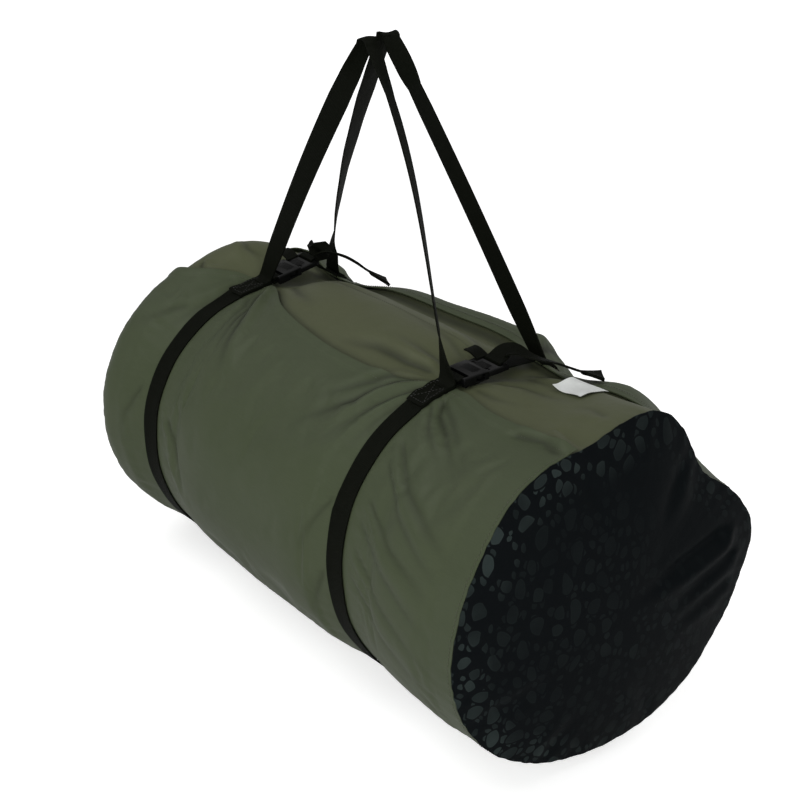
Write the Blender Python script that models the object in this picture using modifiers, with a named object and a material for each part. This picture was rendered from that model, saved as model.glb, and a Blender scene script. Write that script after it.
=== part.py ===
# A double self-inflating sleeping mat, folded, rolled and packed in its wrap-around carry bag.
# Metres, +Z up. X runs along the bag, +X to the printed end. The floor is Z = 0, and the origin
# lies on it midway between the two girth straps. The near side of the bag is -Y.
import math

import bmesh
import bpy
from mathutils import Matrix, Vector

# Fits
TOUCH_GAP = 0.0003           # between pieces that rest on each other
RUNNING_GAP = 0.0005         # round a piece that moves
HINGE_GAP = 0.0045           # between a handle's foot and the webbing that it is sewn to

# Bag, as long as the roll that it holds
MAT_WIDTH = 0.710            # the roll's length, half of the mat's width
FRONT_SEAM_X = 0.430
FRONT_ROOM = 0.025           # from the roll's end to the seam of the bag's end
BACK_ROOM = 0.061
ROLL_FRONT_X = FRONT_SEAM_X - FRONT_ROOM
BACK_SEAM_X = ROLL_FRONT_X - MAT_WIDTH - BACK_ROOM
SHOULDER_LENGTH = 0.035
BACK_SHOULDER_X = BACK_SEAM_X + SHOULDER_LENGTH
BACK_WAIST_X = BACK_SEAM_X + 0.090
FRONT_WAIST_X = FRONT_SEAM_X - 0.120
STRAP_X = 0.207              # each strap's distance from the middle
MIDDLE_BULGE_X = 0.100
FAR_BULGE_X = 0.152          # where the far side swells before the front strap
AXIS_Z = 0.186
FABRIC_THICKNESS = 0.0015
FRONT_BULGE = 0.024
BACK_BULGE = 0.016
SIDE_STEPS = 44              # facets round the bag panel
FLOOR_GAP = 0.0010           # under the bag beside its flat
FLAT_GAP = 0.0001            # under the flat, between the three folds that the bag rests on
FLAT_LINES = range(9, 15)    # the lines and facets of the flat
FLAT_FACETS = (21, 22)
RESTING_FOLDS = ((9, 20), (9, 23), (18, 21))   # the line and the facet of each fold
SHOULDER_RINGS = (0.3, 0.65)
DOME_RINGS = (1.0, 0.93, 0.80, 0.60, 0.30)

# Each section's half sizes: near side, far side, crown near, crown far, below the axis,
# and then the angles of the near and far edges of the opening in degrees from the top
SECTIONS = (
    (BACK_SEAM_X, 0.132, 0.132, 0.130, 0.128, 0.133, -6.0, 28.0),
    (BACK_SHOULDER_X, 0.194, 0.184, 0.188, 0.184, 0.173, -6.0, 28.0),
    (BACK_WAIST_X, 0.199, 0.202, 0.198, 0.203, 0.183, -7.0, 27.0),
    (-STRAP_X, 0.186, 0.188, 0.178, 0.178, 0.1815, -4.0, 24.5),
    (-MIDDLE_BULGE_X, 0.194, 0.203, 0.194, 0.222, 0.191, -17.0, 28.0),
    (0.0, 0.195, 0.206, 0.197, 0.236, 0.192, -22.0, 28.0),
    (MIDDLE_BULGE_X, 0.196, 0.220, 0.197, 0.240, 0.191, -22.0, 28.0),
    (FAR_BULGE_X, 0.193, 0.222, 0.195, 0.232, 0.188, -19.0, 26.5),
    (STRAP_X, 0.184, 0.191, 0.190, 0.192, 0.1815, -11.0, 23.5),
    (FRONT_WAIST_X, 0.194, 0.210, 0.198, 0.232, 0.186, -15.5, 28.0),
    (FRONT_SEAM_X, 0.203, 0.199, 0.208, 0.209, 0.170, -14.0, 28.0),
)
STRAP_LEAN = 0.013           # how far a strap's near side runs towards the back
STRAP_LEAN_ANGLE = -60.0
STRAP_LEAN_REACH = 0.070
CROWN_BLEND_START = 20.0     # the angles between which the near crown passes into the far one
CROWN_BLEND_END = 42.0
# How the pull of the buckles lifts the skin by the far junctions: X, angle and lift
JUNCTION_FORMS = (
    (-STRAP_X, 25.0, 0.009),
    (STRAP_X, 25.0, 0.015),
)
JUNCTION_REACH = 0.050
JUNCTION_SPREAD = 10.0
# Swellings and hollows of the front end's rim: angle, lift and spread
RIM_FORMS = (
    (-35.0, 0.006, 14.0),
    (-10.0, -0.004, 8.0),
    (15.0, 0.016, 13.0),
    (47.0, -0.023, 14.0),
    (81.0, 0.015, 11.0),
    (120.0, -0.007, 16.0),
)
FLAP_STEPS = 6
FLAP_TUCK = 0.003            # the flap's depth under the panels it is tucked beneath
SHOULDER_TUCK = 1.6          # how much deeper, in proportion, it lies under the sloping shoulder
FLAP_TUCK_ANGLE = 7.0
FLAP_BULGE = 0.012
FLAP_PINCH = 0.0055          # the flap's drop under each buckle
FLAP_PINCH_REACH = 0.052

# Webbing
WEBBING_WIDTH = 0.030
WEBBING_THICKNESS = 0.0018
WEBBING_FOLD = 0.001         # the corners of its tight folds
HANDLE_RISE = 0.542          # of the far handle's apex over the bag's axis
FOLD_RADIUS = 0.011          # of each handle's fold at its apex
NEAR_HOOK = (0.026, -0.013, -0.019)   # each fold's centre, Z from the top of the far one
FAR_HOOK = (0.041, 0.009, -FOLD_RADIUS)
FOLD_TURNS = (-45.0, 0.0, 45.0)
LEG_STEPS = 14
LEG_BOWS = {                 # how far each leg bows outwards, and whether nearer its apex
    ("near", -1): (0.008, 1.0),
    ("near", 1): (0.020, 1.5),
    ("far", -1): (0.015, 1.2),
    ("far", 1): (0.004, 1.0),
}
LEG_TURNS = {                # the webbing's turn in degrees at shares of each leg's length
    ("near", -1): ((0.0, 0.0), (0.12, 4.0), (0.85, 18.0), (1.0, 62.0)),
    ("near", 1): ((0.0, 180.0), (0.12, 144.0), (0.88, 134.0), (1.0, 108.0)),
    ("far", -1): ((0.0, 0.0), (0.11, -6.0), (0.5, -56.0), (0.85, -72.0), (1.0, -110.0)),
    ("far", 1): ((0.0, -180.0), (0.12, -172.0), (0.5, -174.0), (0.85, -190.0), (1.0, -150.0)),
}
BUNCHED_WIDTH = 0.60         # the webbing's width, in proportion, where a hand bunches it
BUNCH_REACH = 0.80           # the share of a leg from which it narrows
BASE_SKEW_STEPS = 3          # points over which a leg's edge turns square to it
ANCHOR_STEPS = 2             # facets that a handle's sewn end covers

# Side-release buckles
BUCKLE_WIDTH = 0.041
SOCKET_LENGTH = 0.034
SOCKET_HEIGHT = 0.0105
SOCKET_WALL = 0.0022
SOCKET_ROOF = 0.0018
BAR_LENGTH = 0.005
BAR_HEIGHT = 0.0040
SLOT_LENGTH = 0.0050
SLOT_WIDTH = 0.0315
MOUTH_DEPTH = 0.0215
WINDOW_LENGTH = 0.012
WINDOW_START = 0.004         # from the bottom of the mouth
PLUG_LENGTH = 0.027
PLUG_HEIGHT = 0.0056
GUIDE_WIDTH = 0.005
GUIDE_LENGTH = 0.018
PRONG_LENGTH = 0.0185
PRONG_WIDTH = 0.0036
PRONG_HEIGHT = 0.0050
PRONG_ROOT = 0.0125          # the prong's hinge from the buckle's middle line
PRONG_ROOT_RADIUS = 0.0022
HEAD_LENGTH = 0.0085
HEAD_SLOPE = 0.7             # share of the head's length that slopes out to the barb
TAB_LENGTH = 0.0075
TAB_CLEARANCE = 0.0030       # between the tab's end and the middle of the handle's foot
BUCKLE_RISE = 0.0062         # the buckle's middle plane over the bag
ADJUSTER_FOOT_ANGLE = 2.2    # degrees inside the far edge
ADJUSTER_FOOT_RISE = 0.0038
TAIL_RISE = 0.0010           # how far the loose tail lifts where it leaves the plug's bar
TAIL_STEPS = 3
REAR_TAIL = 0.125            # the loose tails' lengths, about
FRONT_TAIL = 0.130
REAR_TILT = 12.0
FRONT_TILT = 5.0
EDGE_BEVEL = 0.0008

# Rolled mat
ROLL_AXIS_Z = 0.182
ROLL_CORE_RADIUS = 0.012
FOLDED_THICKNESS = 0.044     # both halves of the folded mat, squeezed flat
ROLL_STEPS = 20              # in one turn
ROLL_TURNS = 3.2
TAPER_TURNS = 0.75
TIP_SHARE = 0.28
ROLL_GAP = 0.0006
COVER_THICKNESS = 0.0012
LAYER_GAP = 0.0004
EDGE_COVER = 0.004
BAND_WIDTH = 0.038
BAND_THICKNESS = 0.0015
BAND_X = 0.170

# Valves at the mat's open corners
VALVE_RADIUS = 0.0085
VALVE_FLANGE = 0.0015
VALVE_NECK_RADIUS = 0.0058
VALVE_NECK_LENGTH = 0.009
CAP_RADIUS = 0.0078
CAP_WALL = 0.0014
VALVE_TURNS_BACK = 0.80      # turns from the roll's outer end
VALVE_SIDES = 16
VALVE_PLACES = (("inner_valve", 0.27), ("outer_valve", 0.73))   # as shares of the folded thickness
POLE_GAP = 0.00005           # within which a turned shape's points on its axis are merged

# Care label
LABEL_FRONT_X = FRONT_SEAM_X - 0.101
LABEL_WIDTH = 0.045
LABEL_STEPS = 3
LABEL_NEAR_ANGLE = 12.0
LABEL_FAR_ANGLE = 22.5
LABEL_THICKNESS = 0.0006
LABEL_LIFT = 0.0028


def clear_objects():
    for obj in list(bpy.data.objects):
        bpy.data.objects.remove(obj, do_unlink=True)


def make_collection(name):
    collection = bpy.data.collections.new(name)
    bpy.context.scene.collection.children.link(collection)
    return collection


def make_material(name, color, roughness):
    material = bpy.data.materials.new(name)
    material.use_nodes = True
    shader = material.node_tree.nodes["Principled BSDF"]
    shader.inputs["Base Color"].default_value = (*color, 1.0)
    shader.inputs["Roughness"].default_value = roughness
    material.diffuse_color = (*color, 1.0)
    return material


def mesh_object(name, bm, material, collection, origin=Vector((0.0, 0.0, 0.0)), frame=None):
    """Make an object of a bmesh. The mesh is given about origin, or in the axes of frame."""
    bmesh.ops.translate(bm, verts=bm.verts, vec=-origin)
    mesh = bpy.data.meshes.new(name)
    bm.to_mesh(mesh)
    bm.free()
    obj = bpy.data.objects.new(name, mesh)
    obj.location = origin
    if frame is not None:
        obj.matrix_world = frame @ Matrix.Translation(origin)
    collection.objects.link(obj)
    if material is not None:
        mesh.materials.append(material)
    return obj


def spread(start, end, count):
    """Count + 1 even values from start to end."""
    return [start + (end - start) * step / count for step in range(count + 1)]


def ease(share):
    share = min(max(share, 0.0), 1.0)
    return share * share * (3.0 - 2.0 * share)


def grid_bmesh(rows, closed=False):
    """A surface of quads through rows of points. Closed joins each row's ends."""
    bm = bmesh.new()
    grid = [[bm.verts.new(point) for point in row] for row in rows]
    width = len(rows[0])
    last = width if closed else width - 1
    for row, after in zip(grid, grid[1:]):
        for column in range(last):
            beside = (column + 1) % width
            bm.faces.new((row[column], after[column], after[beside], row[beside]))
    return bm, grid


def thicken(obj, thickness, offset):
    modifier = obj.modifiers.new("Thickness", "SOLIDIFY")
    modifier.thickness = thickness
    modifier.offset = offset
    modifier.use_even_offset = False


def swept_solid(sections, closed=False):
    """A solid through closed sections of points, capped at its ends unless it closes on itself."""
    bm = bmesh.new()
    rings = [[bm.verts.new(point) for point in section] for section in sections]
    pairs = list(zip(rings, rings[1:]))
    if closed:
        pairs.append((rings[-1], rings[0]))
    for ring, after in pairs:
        for index in range(len(ring)):
            beside = (index + 1) % len(ring)
            bm.faces.new((ring[index], after[index], after[beside], ring[beside]))
    if not closed:
        bm.faces.new(rings[0])
        bm.faces.new(list(reversed(rings[-1])))
    bmesh.ops.recalc_face_normals(bm, faces=bm.faces)
    return bm


def section_at(x):
    """The bag's section sizes at x, on smooth curves through SECTIONS."""
    places = [section[0] for section in SECTIONS]
    x = min(max(x, places[0]), places[-1])
    after = next(i for i in range(1, len(places)) if x <= places[i])
    start, end = SECTIONS[after - 1], SECTIONS[after]
    before = SECTIONS[max(after - 2, 0)]
    beyond = SECTIONS[min(after + 1, len(SECTIONS) - 1)]
    length = end[0] - start[0]
    share = (x - start[0]) / length
    sizes = []
    for column in range(1, len(start)):
        start_slope = (end[column] - before[column]) / (end[0] - before[0])
        end_slope = (beyond[column] - start[column]) / (beyond[0] - start[0])
        sizes.append(
            (2 * share**3 - 3 * share**2 + 1) * start[column]
            + (share**3 - 2 * share**2 + share) * length * start_slope
            + (3 * share**2 - 2 * share**3) * end[column]
            + (share**3 - share**2) * length * end_slope
        )
    return sizes


def near_edge_angle(x):
    return section_at(x)[5]


def far_edge_angle(x):
    return section_at(x)[6]


def strap_lean(x, angle):
    """How far the pull of the straps moves the bag's skin along X."""
    towards = max(0.0, math.cos(math.radians(angle - STRAP_LEAN_ANGLE))) ** 2
    reach = sum(hump(x - side * STRAP_X, STRAP_LEAN_REACH) for side in (-1, 1))
    return -STRAP_LEAN * towards * reach


def hump(distance, reach):
    return math.exp(-((distance / reach) ** 2))


def rim_lift(x, signed_angle):
    """How far the skin stands out, or in, towards the front end."""
    lift = sum(height * hump(signed_angle - angle, spread) for angle, height, spread in RIM_FORMS)
    return lift * ease((x - FRONT_WAIST_X) / (FRONT_SEAM_X - FRONT_WAIST_X))


def junction_lift(x, signed_angle):
    """How far the skin is lifted beside the far junctions."""
    return sum(
        height * hump(x - place, JUNCTION_REACH) * hump(signed_angle - angle, JUNCTION_SPREAD)
        for place, angle, height in JUNCTION_FORMS
    )


def bag_point(x, angle, lift=0.0):
    """A point of the bag's skin, or lift outside it. Angle 0 is the top, and +Y is 90."""
    near, far, crown_near, crown_far, below, _near_edge, _far_edge = section_at(x)
    turn = math.radians(angle)
    across, up = math.sin(turn), math.cos(turn)
    side = far if across > 0.0 else near
    signed = (angle + 180.0) % 360.0 - 180.0
    blend = ease((signed - CROWN_BLEND_START) / (CROWN_BLEND_END - CROWN_BLEND_START))
    crown = crown_near + (crown_far - crown_near) * blend
    upright = crown if up > 0.0 else below
    outwards = lift + rim_lift(x, signed) + junction_lift(x, signed)
    height = max(AXIS_Z + (upright + outwards) * up, FLOOR_GAP)
    return Vector((x + strap_lean(x, angle), (side + outwards) * across, height))


def strap_lines(side):
    """The X of a strap's two edges."""
    return side * STRAP_X - WEBBING_WIDTH / 2, side * STRAP_X + WEBBING_WIDTH / 2


def bag_lines():
    """The X of each of the bag's sections in the mesh."""
    rear, front = strap_lines(-1), strap_lines(1)
    return (
        [BACK_SEAM_X]
        + [BACK_SEAM_X + share * SHOULDER_LENGTH for share in SHOULDER_RINGS]
        + spread(BACK_SHOULDER_X, rear[0], 3)
        + spread(rear[1], front[0], 8)
        + spread(front[1], FRONT_SEAM_X, 5)
    )


def panel_angles(x):
    return spread(far_edge_angle(x), 360.0 + near_edge_angle(x), SIDE_STEPS)


def make_bag_panel(material, collection):
    rows = [[bag_point(x, angle) for angle in panel_angles(x)] for x in bag_lines()]
    for line in FLAT_LINES:
        for facet in FLAT_FACETS:
            rows[line][facet].z = FLAT_GAP
    for line, facet in RESTING_FOLDS:
        rows[line][facet].z = 0.0
    bm, _grid = grid_bmesh(rows)
    panel = mesh_object("bag_panel", bm, material, collection)
    thicken(panel, FABRIC_THICKNESS, -1.0)
    return panel


def flap_lift(x, share):
    """The flap's lift from the bag's skin, for a share of the way from near edge to far edge."""
    inside = 0.0 < share < 1.0
    rise = math.sin(math.pi * share) ** 2 if inside else 0.0
    pinch = sum(hump(x - side * STRAP_X, FLAP_PINCH_REACH) for side in (-1, 1))
    back_fade = ease((x - BACK_SEAM_X) / (BACK_WAIST_X - BACK_SEAM_X))
    depth = FLAP_TUCK * (1.0 + SHOULDER_TUCK * (1.0 - back_fade))
    front_fade = ease((FRONT_SEAM_X - x) / (FRONT_SEAM_X - FRONT_WAIST_X))
    bulge = FLAP_BULGE * back_fade * front_fade * (1.0 - min(pinch, 1.0))
    return -depth + rise * (bulge - FLAP_PINCH * min(pinch, 1.0))


def make_top_flap(material, collection):
    lines = bag_lines()
    lines[0] += 2 * FLAP_TUCK
    lines[-1] -= FLAP_TUCK
    rows = []
    for x in lines:
        near, far = near_edge_angle(x), far_edge_angle(x)
        width = far - near
        angles = [near - FLAP_TUCK_ANGLE] + spread(near, far, FLAP_STEPS) + [far + FLAP_TUCK_ANGLE]
        rows.append([bag_point(x, angle, flap_lift(x, (angle - near) / width)) for angle in angles])
    bm, _grid = grid_bmesh(rows)
    flap = mesh_object("top_flap", bm, material, collection)
    thicken(flap, FABRIC_THICKNESS, -1.0)
    return flap


def make_end_panel(name, seam_x, outward, bulge, material, collection):
    """A domed end panel that meets the bag panel's edge, face to face."""
    start = seam_x + outward * (FABRIC_THICKNESS + TOUCH_GAP)
    rim = [bag_point(seam_x, angle) for angle in spread(0.0, 360.0, SIDE_STEPS)[:-1]]
    middle = Vector((start, 0.0, (max(p.z for p in rim) + min(p.z for p in rim)) / 2))
    rows = []
    for share in DOME_RINGS:
        crown = Vector((outward * bulge * (1.0 - share * share), 0.0, 0.0))
        row = [middle + crown + Vector((0.0, p.y, p.z - middle.z)) * share for p in rim]
        rows.append(row if outward < 0 else list(reversed(row)))
    bm, grid = grid_bmesh(rows, closed=True)
    pole = bm.verts.new(middle + Vector((outward * bulge, 0.0, 0.0)))
    inner = grid[-1]
    for index, vert in enumerate(inner):
        bm.faces.new((vert, pole, inner[(index + 1) % len(inner)]))
    panel = mesh_object(name, bm, material, collection)
    thicken(panel, FABRIC_THICKNESS, -1.0)
    return panel


def make_girth_strap(name, side, material, collection):
    """Webbing sewn round the bag from the near junction, under it, to the far junction."""
    rows = [
        [bag_point(x, angle, TOUCH_GAP) for angle in panel_angles(x)] for x in strap_lines(side)
    ]
    bm, _grid = grid_bmesh(rows)
    strap = mesh_object(name, bm, material, collection)
    thicken(strap, WEBBING_THICKNESS, 1.0)
    return strap


def make_handle_anchor(name, side, at_near, material, collection):
    """The sewn end of a handle, lying on the girth strap beside the junction."""
    lift = 2 * TOUCH_GAP + WEBBING_THICKNESS
    rows = []
    for x in strap_lines(side):
        angles = panel_angles(x)
        angles = angles[-1 - ANCHOR_STEPS:] if at_near else angles[: ANCHOR_STEPS + 1]
        rows.append([bag_point(x, angle, lift) for angle in angles])
    bm, _grid = grid_bmesh(rows)
    anchor = mesh_object(name, bm, material, collection)
    thicken(anchor, WEBBING_THICKNESS, 1.0)
    return anchor


def junction(side, at_near):
    """The point where a handle leaves the bag: its hinge."""
    x = side * STRAP_X
    angle = near_edge_angle(x) if at_near else far_edge_angle(x)
    lift = 2 * (TOUCH_GAP + WEBBING_THICKNESS) + HINGE_GAP
    return bag_point(x, angle, lift)


def turn_at(turns, share):
    """The turn at a share of a leg's length, eased between the given ones."""
    for (start, before), (end, after) in zip(turns, turns[1:]):
        if share <= end:
            return before + (after - before) * ease((share - start) / (end - start))
    return turns[-1][1]


def make_leg(row, side, hook):
    """A handle's leg from its base to the shoulder of the apex: points, turns and widths."""
    base = junction(side, row == "near")
    shoulder = hook + Vector((side * FOLD_RADIUS, 0.0, 0.0))
    bow, skew = LEG_BOWS[row, side]
    points, turns, widths = [], [], []
    for share in spread(0.0, 1.0, LEG_STEPS):
        point = base.lerp(shoulder, share)
        point.x += side * bow * math.sin(math.pi * share**skew)
        points.append(point)
        turns.append(turn_at(LEG_TURNS[row, side], share))
        bunch = ease((share - BUNCH_REACH) / (1.0 - BUNCH_REACH))
        widths.append(WEBBING_WIDTH * (1.0 + (BUNCHED_WIDTH - 1.0) * bunch))
    return points, turns, widths


def handle_path(row):
    """The middle line of a handle, with the webbing's turn and width at each point."""
    way = NEAR_HOOK if row == "near" else FAR_HOOK
    hook = Vector(way) + Vector((0.0, 0.0, AXIS_Z + HANDLE_RISE))
    rear, front = make_leg(row, -1, hook), make_leg(row, 1, hook)
    arc, turns, widths = [], [], []
    for turn in FOLD_TURNS:
        tilt = math.radians(turn)
        arc.append(hook + Vector((math.sin(tilt), 0.0, math.cos(tilt))) * FOLD_RADIUS)
        share = (turn + 90.0) / 180.0
        turns.append(rear[1][-1] + (front[1][-1] - rear[1][-1]) * share)
        widths.append(WEBBING_WIDTH * BUNCHED_WIDTH)
    points = rear[0] + arc + front[0][::-1]
    return points, rear[1] + turns + front[1][::-1], rear[2] + widths + front[2][::-1]


def ribbon_bmesh(points, across, widths=None):
    """A flat strip along points. Across gives its width direction at each."""
    rows = [[], []]
    for index, (point, direction) in enumerate(zip(points, across)):
        half = widths[index] / 2 if widths else WEBBING_WIDTH / 2
        rows[0].append(point - direction * half)
        rows[1].append(point + direction * half)
    bm, _grid = grid_bmesh(rows)
    return bm


def tangent(points, index):
    before = points[max(index - 1, 0)]
    after = points[min(index + 1, len(points) - 1)]
    return (after - before).normalized()


def make_handle(row, material, collection):
    points, turns, widths = handle_path(row)
    across = []
    for index, turn in enumerate(turns):
        wanted = Vector((math.cos(math.radians(turn)), math.sin(math.radians(turn)), 0.0))
        along = tangent(points, index)
        from_base = min(index, len(points) - 1 - index)
        square = ease(from_base / BASE_SKEW_STEPS)
        across.append((wanted - along * wanted.dot(along) * square).normalized())
    bm = ribbon_bmesh(points, across, widths)
    hinge = junction(-1, row == "near")
    handle = mesh_object(row + "_handle", bm, material, collection, origin=hinge)
    thicken(handle, WEBBING_THICKNESS, 0.0)
    return handle


def box_bmesh(low, high):
    bm = bmesh.new()
    bmesh.ops.create_cube(bm, size=1.0)
    size = [high[axis] - low[axis] for axis in range(3)]
    middle = [(high[axis] + low[axis]) / 2 for axis in range(3)]
    bmesh.ops.scale(bm, verts=bm.verts, vec=size)
    bmesh.ops.translate(bm, verts=bm.verts, vec=middle)
    return bm


def cut(obj, low, high, frame, cutters):
    cutter = mesh_object(obj.name + "_cutter", box_bmesh(low, high), None, cutters, frame=frame)
    cutter.hide_render = True
    cutter.display_type = "WIRE"
    modifier = obj.modifiers.new("Cut", "BOOLEAN")
    modifier.operation = "DIFFERENCE"
    modifier.object = cutter


def bevel_edges(bm, width):
    bmesh.ops.bevel(
        bm, geom=bm.edges, offset=width, affect="EDGES", segments=1, profile=0.5, material=-1
    )


def buckle_frame(side):
    """A buckle's axes: X across the webbing, Y the way the plug pulls out, Z up off the bag."""
    x = side * STRAP_X
    tilt = REAR_TILT if side < 0 else FRONT_TILT
    start = bag_point(x, near_edge_angle(x), BUCKLE_RISE)
    start.y += TAB_LENGTH
    return Matrix.Translation(start) @ Matrix.Rotation(math.radians(tilt), 4, "X")


def make_socket(name, frame, material, collection, cutters):
    half, height = BUCKLE_WIDTH / 2, SOCKET_HEIGHT / 2
    body = box_bmesh((-half, 0.0, -height), (half, SOCKET_LENGTH, height))
    bevel_edges(body, EDGE_BEVEL)
    socket = mesh_object(name, body, material, collection, frame=frame)
    mouth = SOCKET_LENGTH - MOUTH_DEPTH
    past = 2 * SOCKET_WALL
    room = half - SOCKET_WALL
    roof = height - SOCKET_ROOF
    window = mouth + WINDOW_START
    window_end = window + WINDOW_LENGTH
    slot_end = BAR_LENGTH + SLOT_LENGTH
    slot_half = SLOT_WIDTH / 2
    bar_end = BAR_LENGTH + past / 2
    thin = BAR_HEIGHT / 2
    above = height + past
    cut(socket, (-room, mouth, -roof), (room, SOCKET_LENGTH + past, roof), frame, cutters)
    cut(socket, (-half - past, window, -roof), (half + past, window_end, roof), frame, cutters)
    cut(socket, (-slot_half, BAR_LENGTH, -above), (slot_half, slot_end, above), frame, cutters)
    cut(socket, (-slot_half, -past, thin), (slot_half, bar_end, above), frame, cutters)
    cut(socket, (-slot_half, -past, -above), (slot_half, bar_end, -thin), frame, cutters)
    return socket


def make_plug(name, frame, material, collection, cutters):
    """The plate that takes the webbing, with the guide that runs into the socket."""
    start = SOCKET_LENGTH + TOUCH_GAP
    end = start + PLUG_LENGTH
    half, height = BUCKLE_WIDTH / 2, PLUG_HEIGHT / 2
    guide = GUIDE_WIDTH / 2
    root = PRONG_ROOT_RADIUS + RUNNING_GAP
    outline = [
        (guide, start - GUIDE_LENGTH), (guide, start),
        (PRONG_ROOT - root, start), (PRONG_ROOT - root, start + 2 * root),
        (PRONG_ROOT + root, start + 2 * root), (PRONG_ROOT + root, start),
        (half, start), (half, end),
    ]
    outline += [(-x, y) for x, y in reversed(outline)]
    rows = [[Vector((x, y, z)) for x, y in outline] for z in (-height, height)]
    plug = mesh_object(name, swept_solid(rows), material, collection, frame=frame)
    slot_half = SLOT_WIDTH / 2
    slot_start = end - BAR_LENGTH - SLOT_LENGTH
    past = SOCKET_HEIGHT
    cut(plug, (-slot_half, slot_start, -past), (slot_half, end - BAR_LENGTH, past), frame, cutters)
    return plug


def make_prong(name, side, frame, material, collection):
    """A springy arm with a barbed head, hinged where it leaves the plug."""
    hinge_y = SOCKET_LENGTH + TOUCH_GAP + PRONG_ROOT_RADIUS + RUNNING_GAP
    tip_y = hinge_y - PRONG_LENGTH
    reach = BUCKLE_WIDTH / 2 - SOCKET_WALL - RUNNING_GAP
    inner = PRONG_ROOT - PRONG_WIDTH / 2
    outer = PRONG_ROOT + PRONG_WIDTH / 2
    outline = [
        (inner, hinge_y), (inner, tip_y + HEAD_LENGTH), (inner + PRONG_WIDTH / 4, tip_y),
        (outer, tip_y), (reach, tip_y + HEAD_LENGTH * HEAD_SLOPE), (reach, tip_y + HEAD_LENGTH),
        (outer, tip_y + HEAD_LENGTH), (outer, hinge_y),
        (PRONG_ROOT + PRONG_WIDTH / 4, hinge_y + PRONG_ROOT_RADIUS),
        (PRONG_ROOT - PRONG_WIDTH / 4, hinge_y + PRONG_ROOT_RADIUS),
    ]
    height = PRONG_HEIGHT / 2
    rows = [[Vector((side * x, y, z)) for x, y in outline] for z in (-height, height)]
    hinge = Vector((side * PRONG_ROOT, hinge_y, 0.0))
    return mesh_object(name, swept_solid(rows), material, collection, origin=hinge, frame=frame)


def webbing_bmesh(points, frame=None, across=Vector((1.0, 0.0, 0.0))):
    if frame is not None:
        points = [frame @ point for point in points]
    return ribbon_bmesh(points, [across] * len(points))


def make_socket_tab(name, frame, material, collection):
    """The folded webbing that holds the socket to the near junction."""
    under = BAR_HEIGHT / 2 + TOUCH_GAP + WEBBING_THICKNESS / 2
    through = BAR_LENGTH + TOUCH_GAP + WEBBING_THICKNESS / 2
    sewn_end = TAB_CLEARANCE - TAB_LENGTH
    lower_half = ((sewn_end, -under), (through - WEBBING_FOLD, -under), (through, WEBBING_FOLD - under))
    points = [Vector((0.0, y, z)) for y, z in lower_half]
    points += [Vector((0.0, y, -z)) for y, z in reversed(lower_half)]
    tab = mesh_object(name, webbing_bmesh(points, frame), material, collection)
    thicken(tab, WEBBING_THICKNESS, 0.0)
    return tab


def smooth_path(points, steps):
    """Points along a smooth curve through the given ones."""
    path = []
    for index in range(len(points) - 1):
        before = points[max(index - 1, 0)]
        start, end = points[index], points[index + 1]
        beyond = points[min(index + 2, len(points) - 1)]
        for step in range(steps):
            share = step / steps
            path.append(
                0.5 * (2 * start + (end - before) * share
                       + (2 * before - 5 * start + 4 * end - beyond) * share**2
                       + (3 * start - before - 3 * end + beyond) * share**3)
            )
    path.append(points[-1])
    return path


def plug_webbing_points(side, frame):
    """The webbing's way from the far junction, under the plug and round its bar."""
    end = SOCKET_LENGTH + TOUCH_GAP + PLUG_LENGTH + RUNNING_GAP
    level = PLUG_HEIGHT / 2 + TOUCH_GAP + WEBBING_THICKNESS / 2
    through = end - RUNNING_GAP - BAR_LENGTH - TOUCH_GAP - WEBBING_THICKNESS / 2
    far = far_edge_angle(side * STRAP_X)
    foot = bag_point(side * STRAP_X, far - ADJUSTER_FOOT_ANGLE, ADJUSTER_FOOT_RISE)
    foot.x = frame.translation.x
    corner = through + WEBBING_FOLD
    loop = (
        (end, -level), (corner, -level), (through, WEBBING_FOLD - level),
        (through, level - WEBBING_FOLD), (corner, level), (end, level + TAIL_RISE),
    )
    return [foot] + [frame @ Vector((0.0, y, z)) for y, z in loop]


def make_adjuster(name, side, frame, material, collection):
    """Webbing from the far junction, round the plug's bar and on into its loose tail."""
    points = plug_webbing_points(side, frame)
    start = points[-1]
    length = REAR_TAIL if side < 0 else FRONT_TAIL
    route = tail_route(side)
    places = [start] + [start + Vector(way) * length for way, _turn in route]
    tail = smooth_path(places, TAIL_STEPS)[1:]
    turns = [0.0] * len(points)
    for index in range(len(tail)):
        place = (index + 1) / len(tail) * len(route)
        low = min(int(place), len(route) - 1)
        start_turn = route[low - 1][1] if low else 0.0
        turns.append(start_turn + (route[low][1] - start_turn) * min(place - low, 1.0))
    points += tail
    across = []
    for index, turn in enumerate(turns):
        wanted = Vector((math.cos(math.radians(turn)), math.sin(math.radians(turn)), 0.0))
        along = tangent(points, index)
        across.append((wanted - along * wanted.dot(along)).normalized())
    webbing = mesh_object(name, ribbon_bmesh(points, across), material, collection)
    thicken(webbing, WEBBING_THICKNESS, 0.0)
    return webbing


def make_label(material, collection):
    rows = []
    for x in spread(LABEL_FRONT_X - LABEL_WIDTH, LABEL_FRONT_X, LABEL_STEPS):
        near = near_edge_angle(x)
        width = far_edge_angle(x) - near
        row = []
        for angle in spread(LABEL_NEAR_ANGLE, LABEL_FAR_ANGLE, LABEL_STEPS):
            lift = flap_lift(x, (angle - near) / width) + LABEL_LIFT
            row.append(bag_point(x, angle, lift))
        rows.append(row)
    bm, _grid = grid_bmesh(rows)
    label = mesh_object("care_label", bm, material, collection)
    thicken(label, LABEL_THICKNESS, 1.0)
    return label


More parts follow.
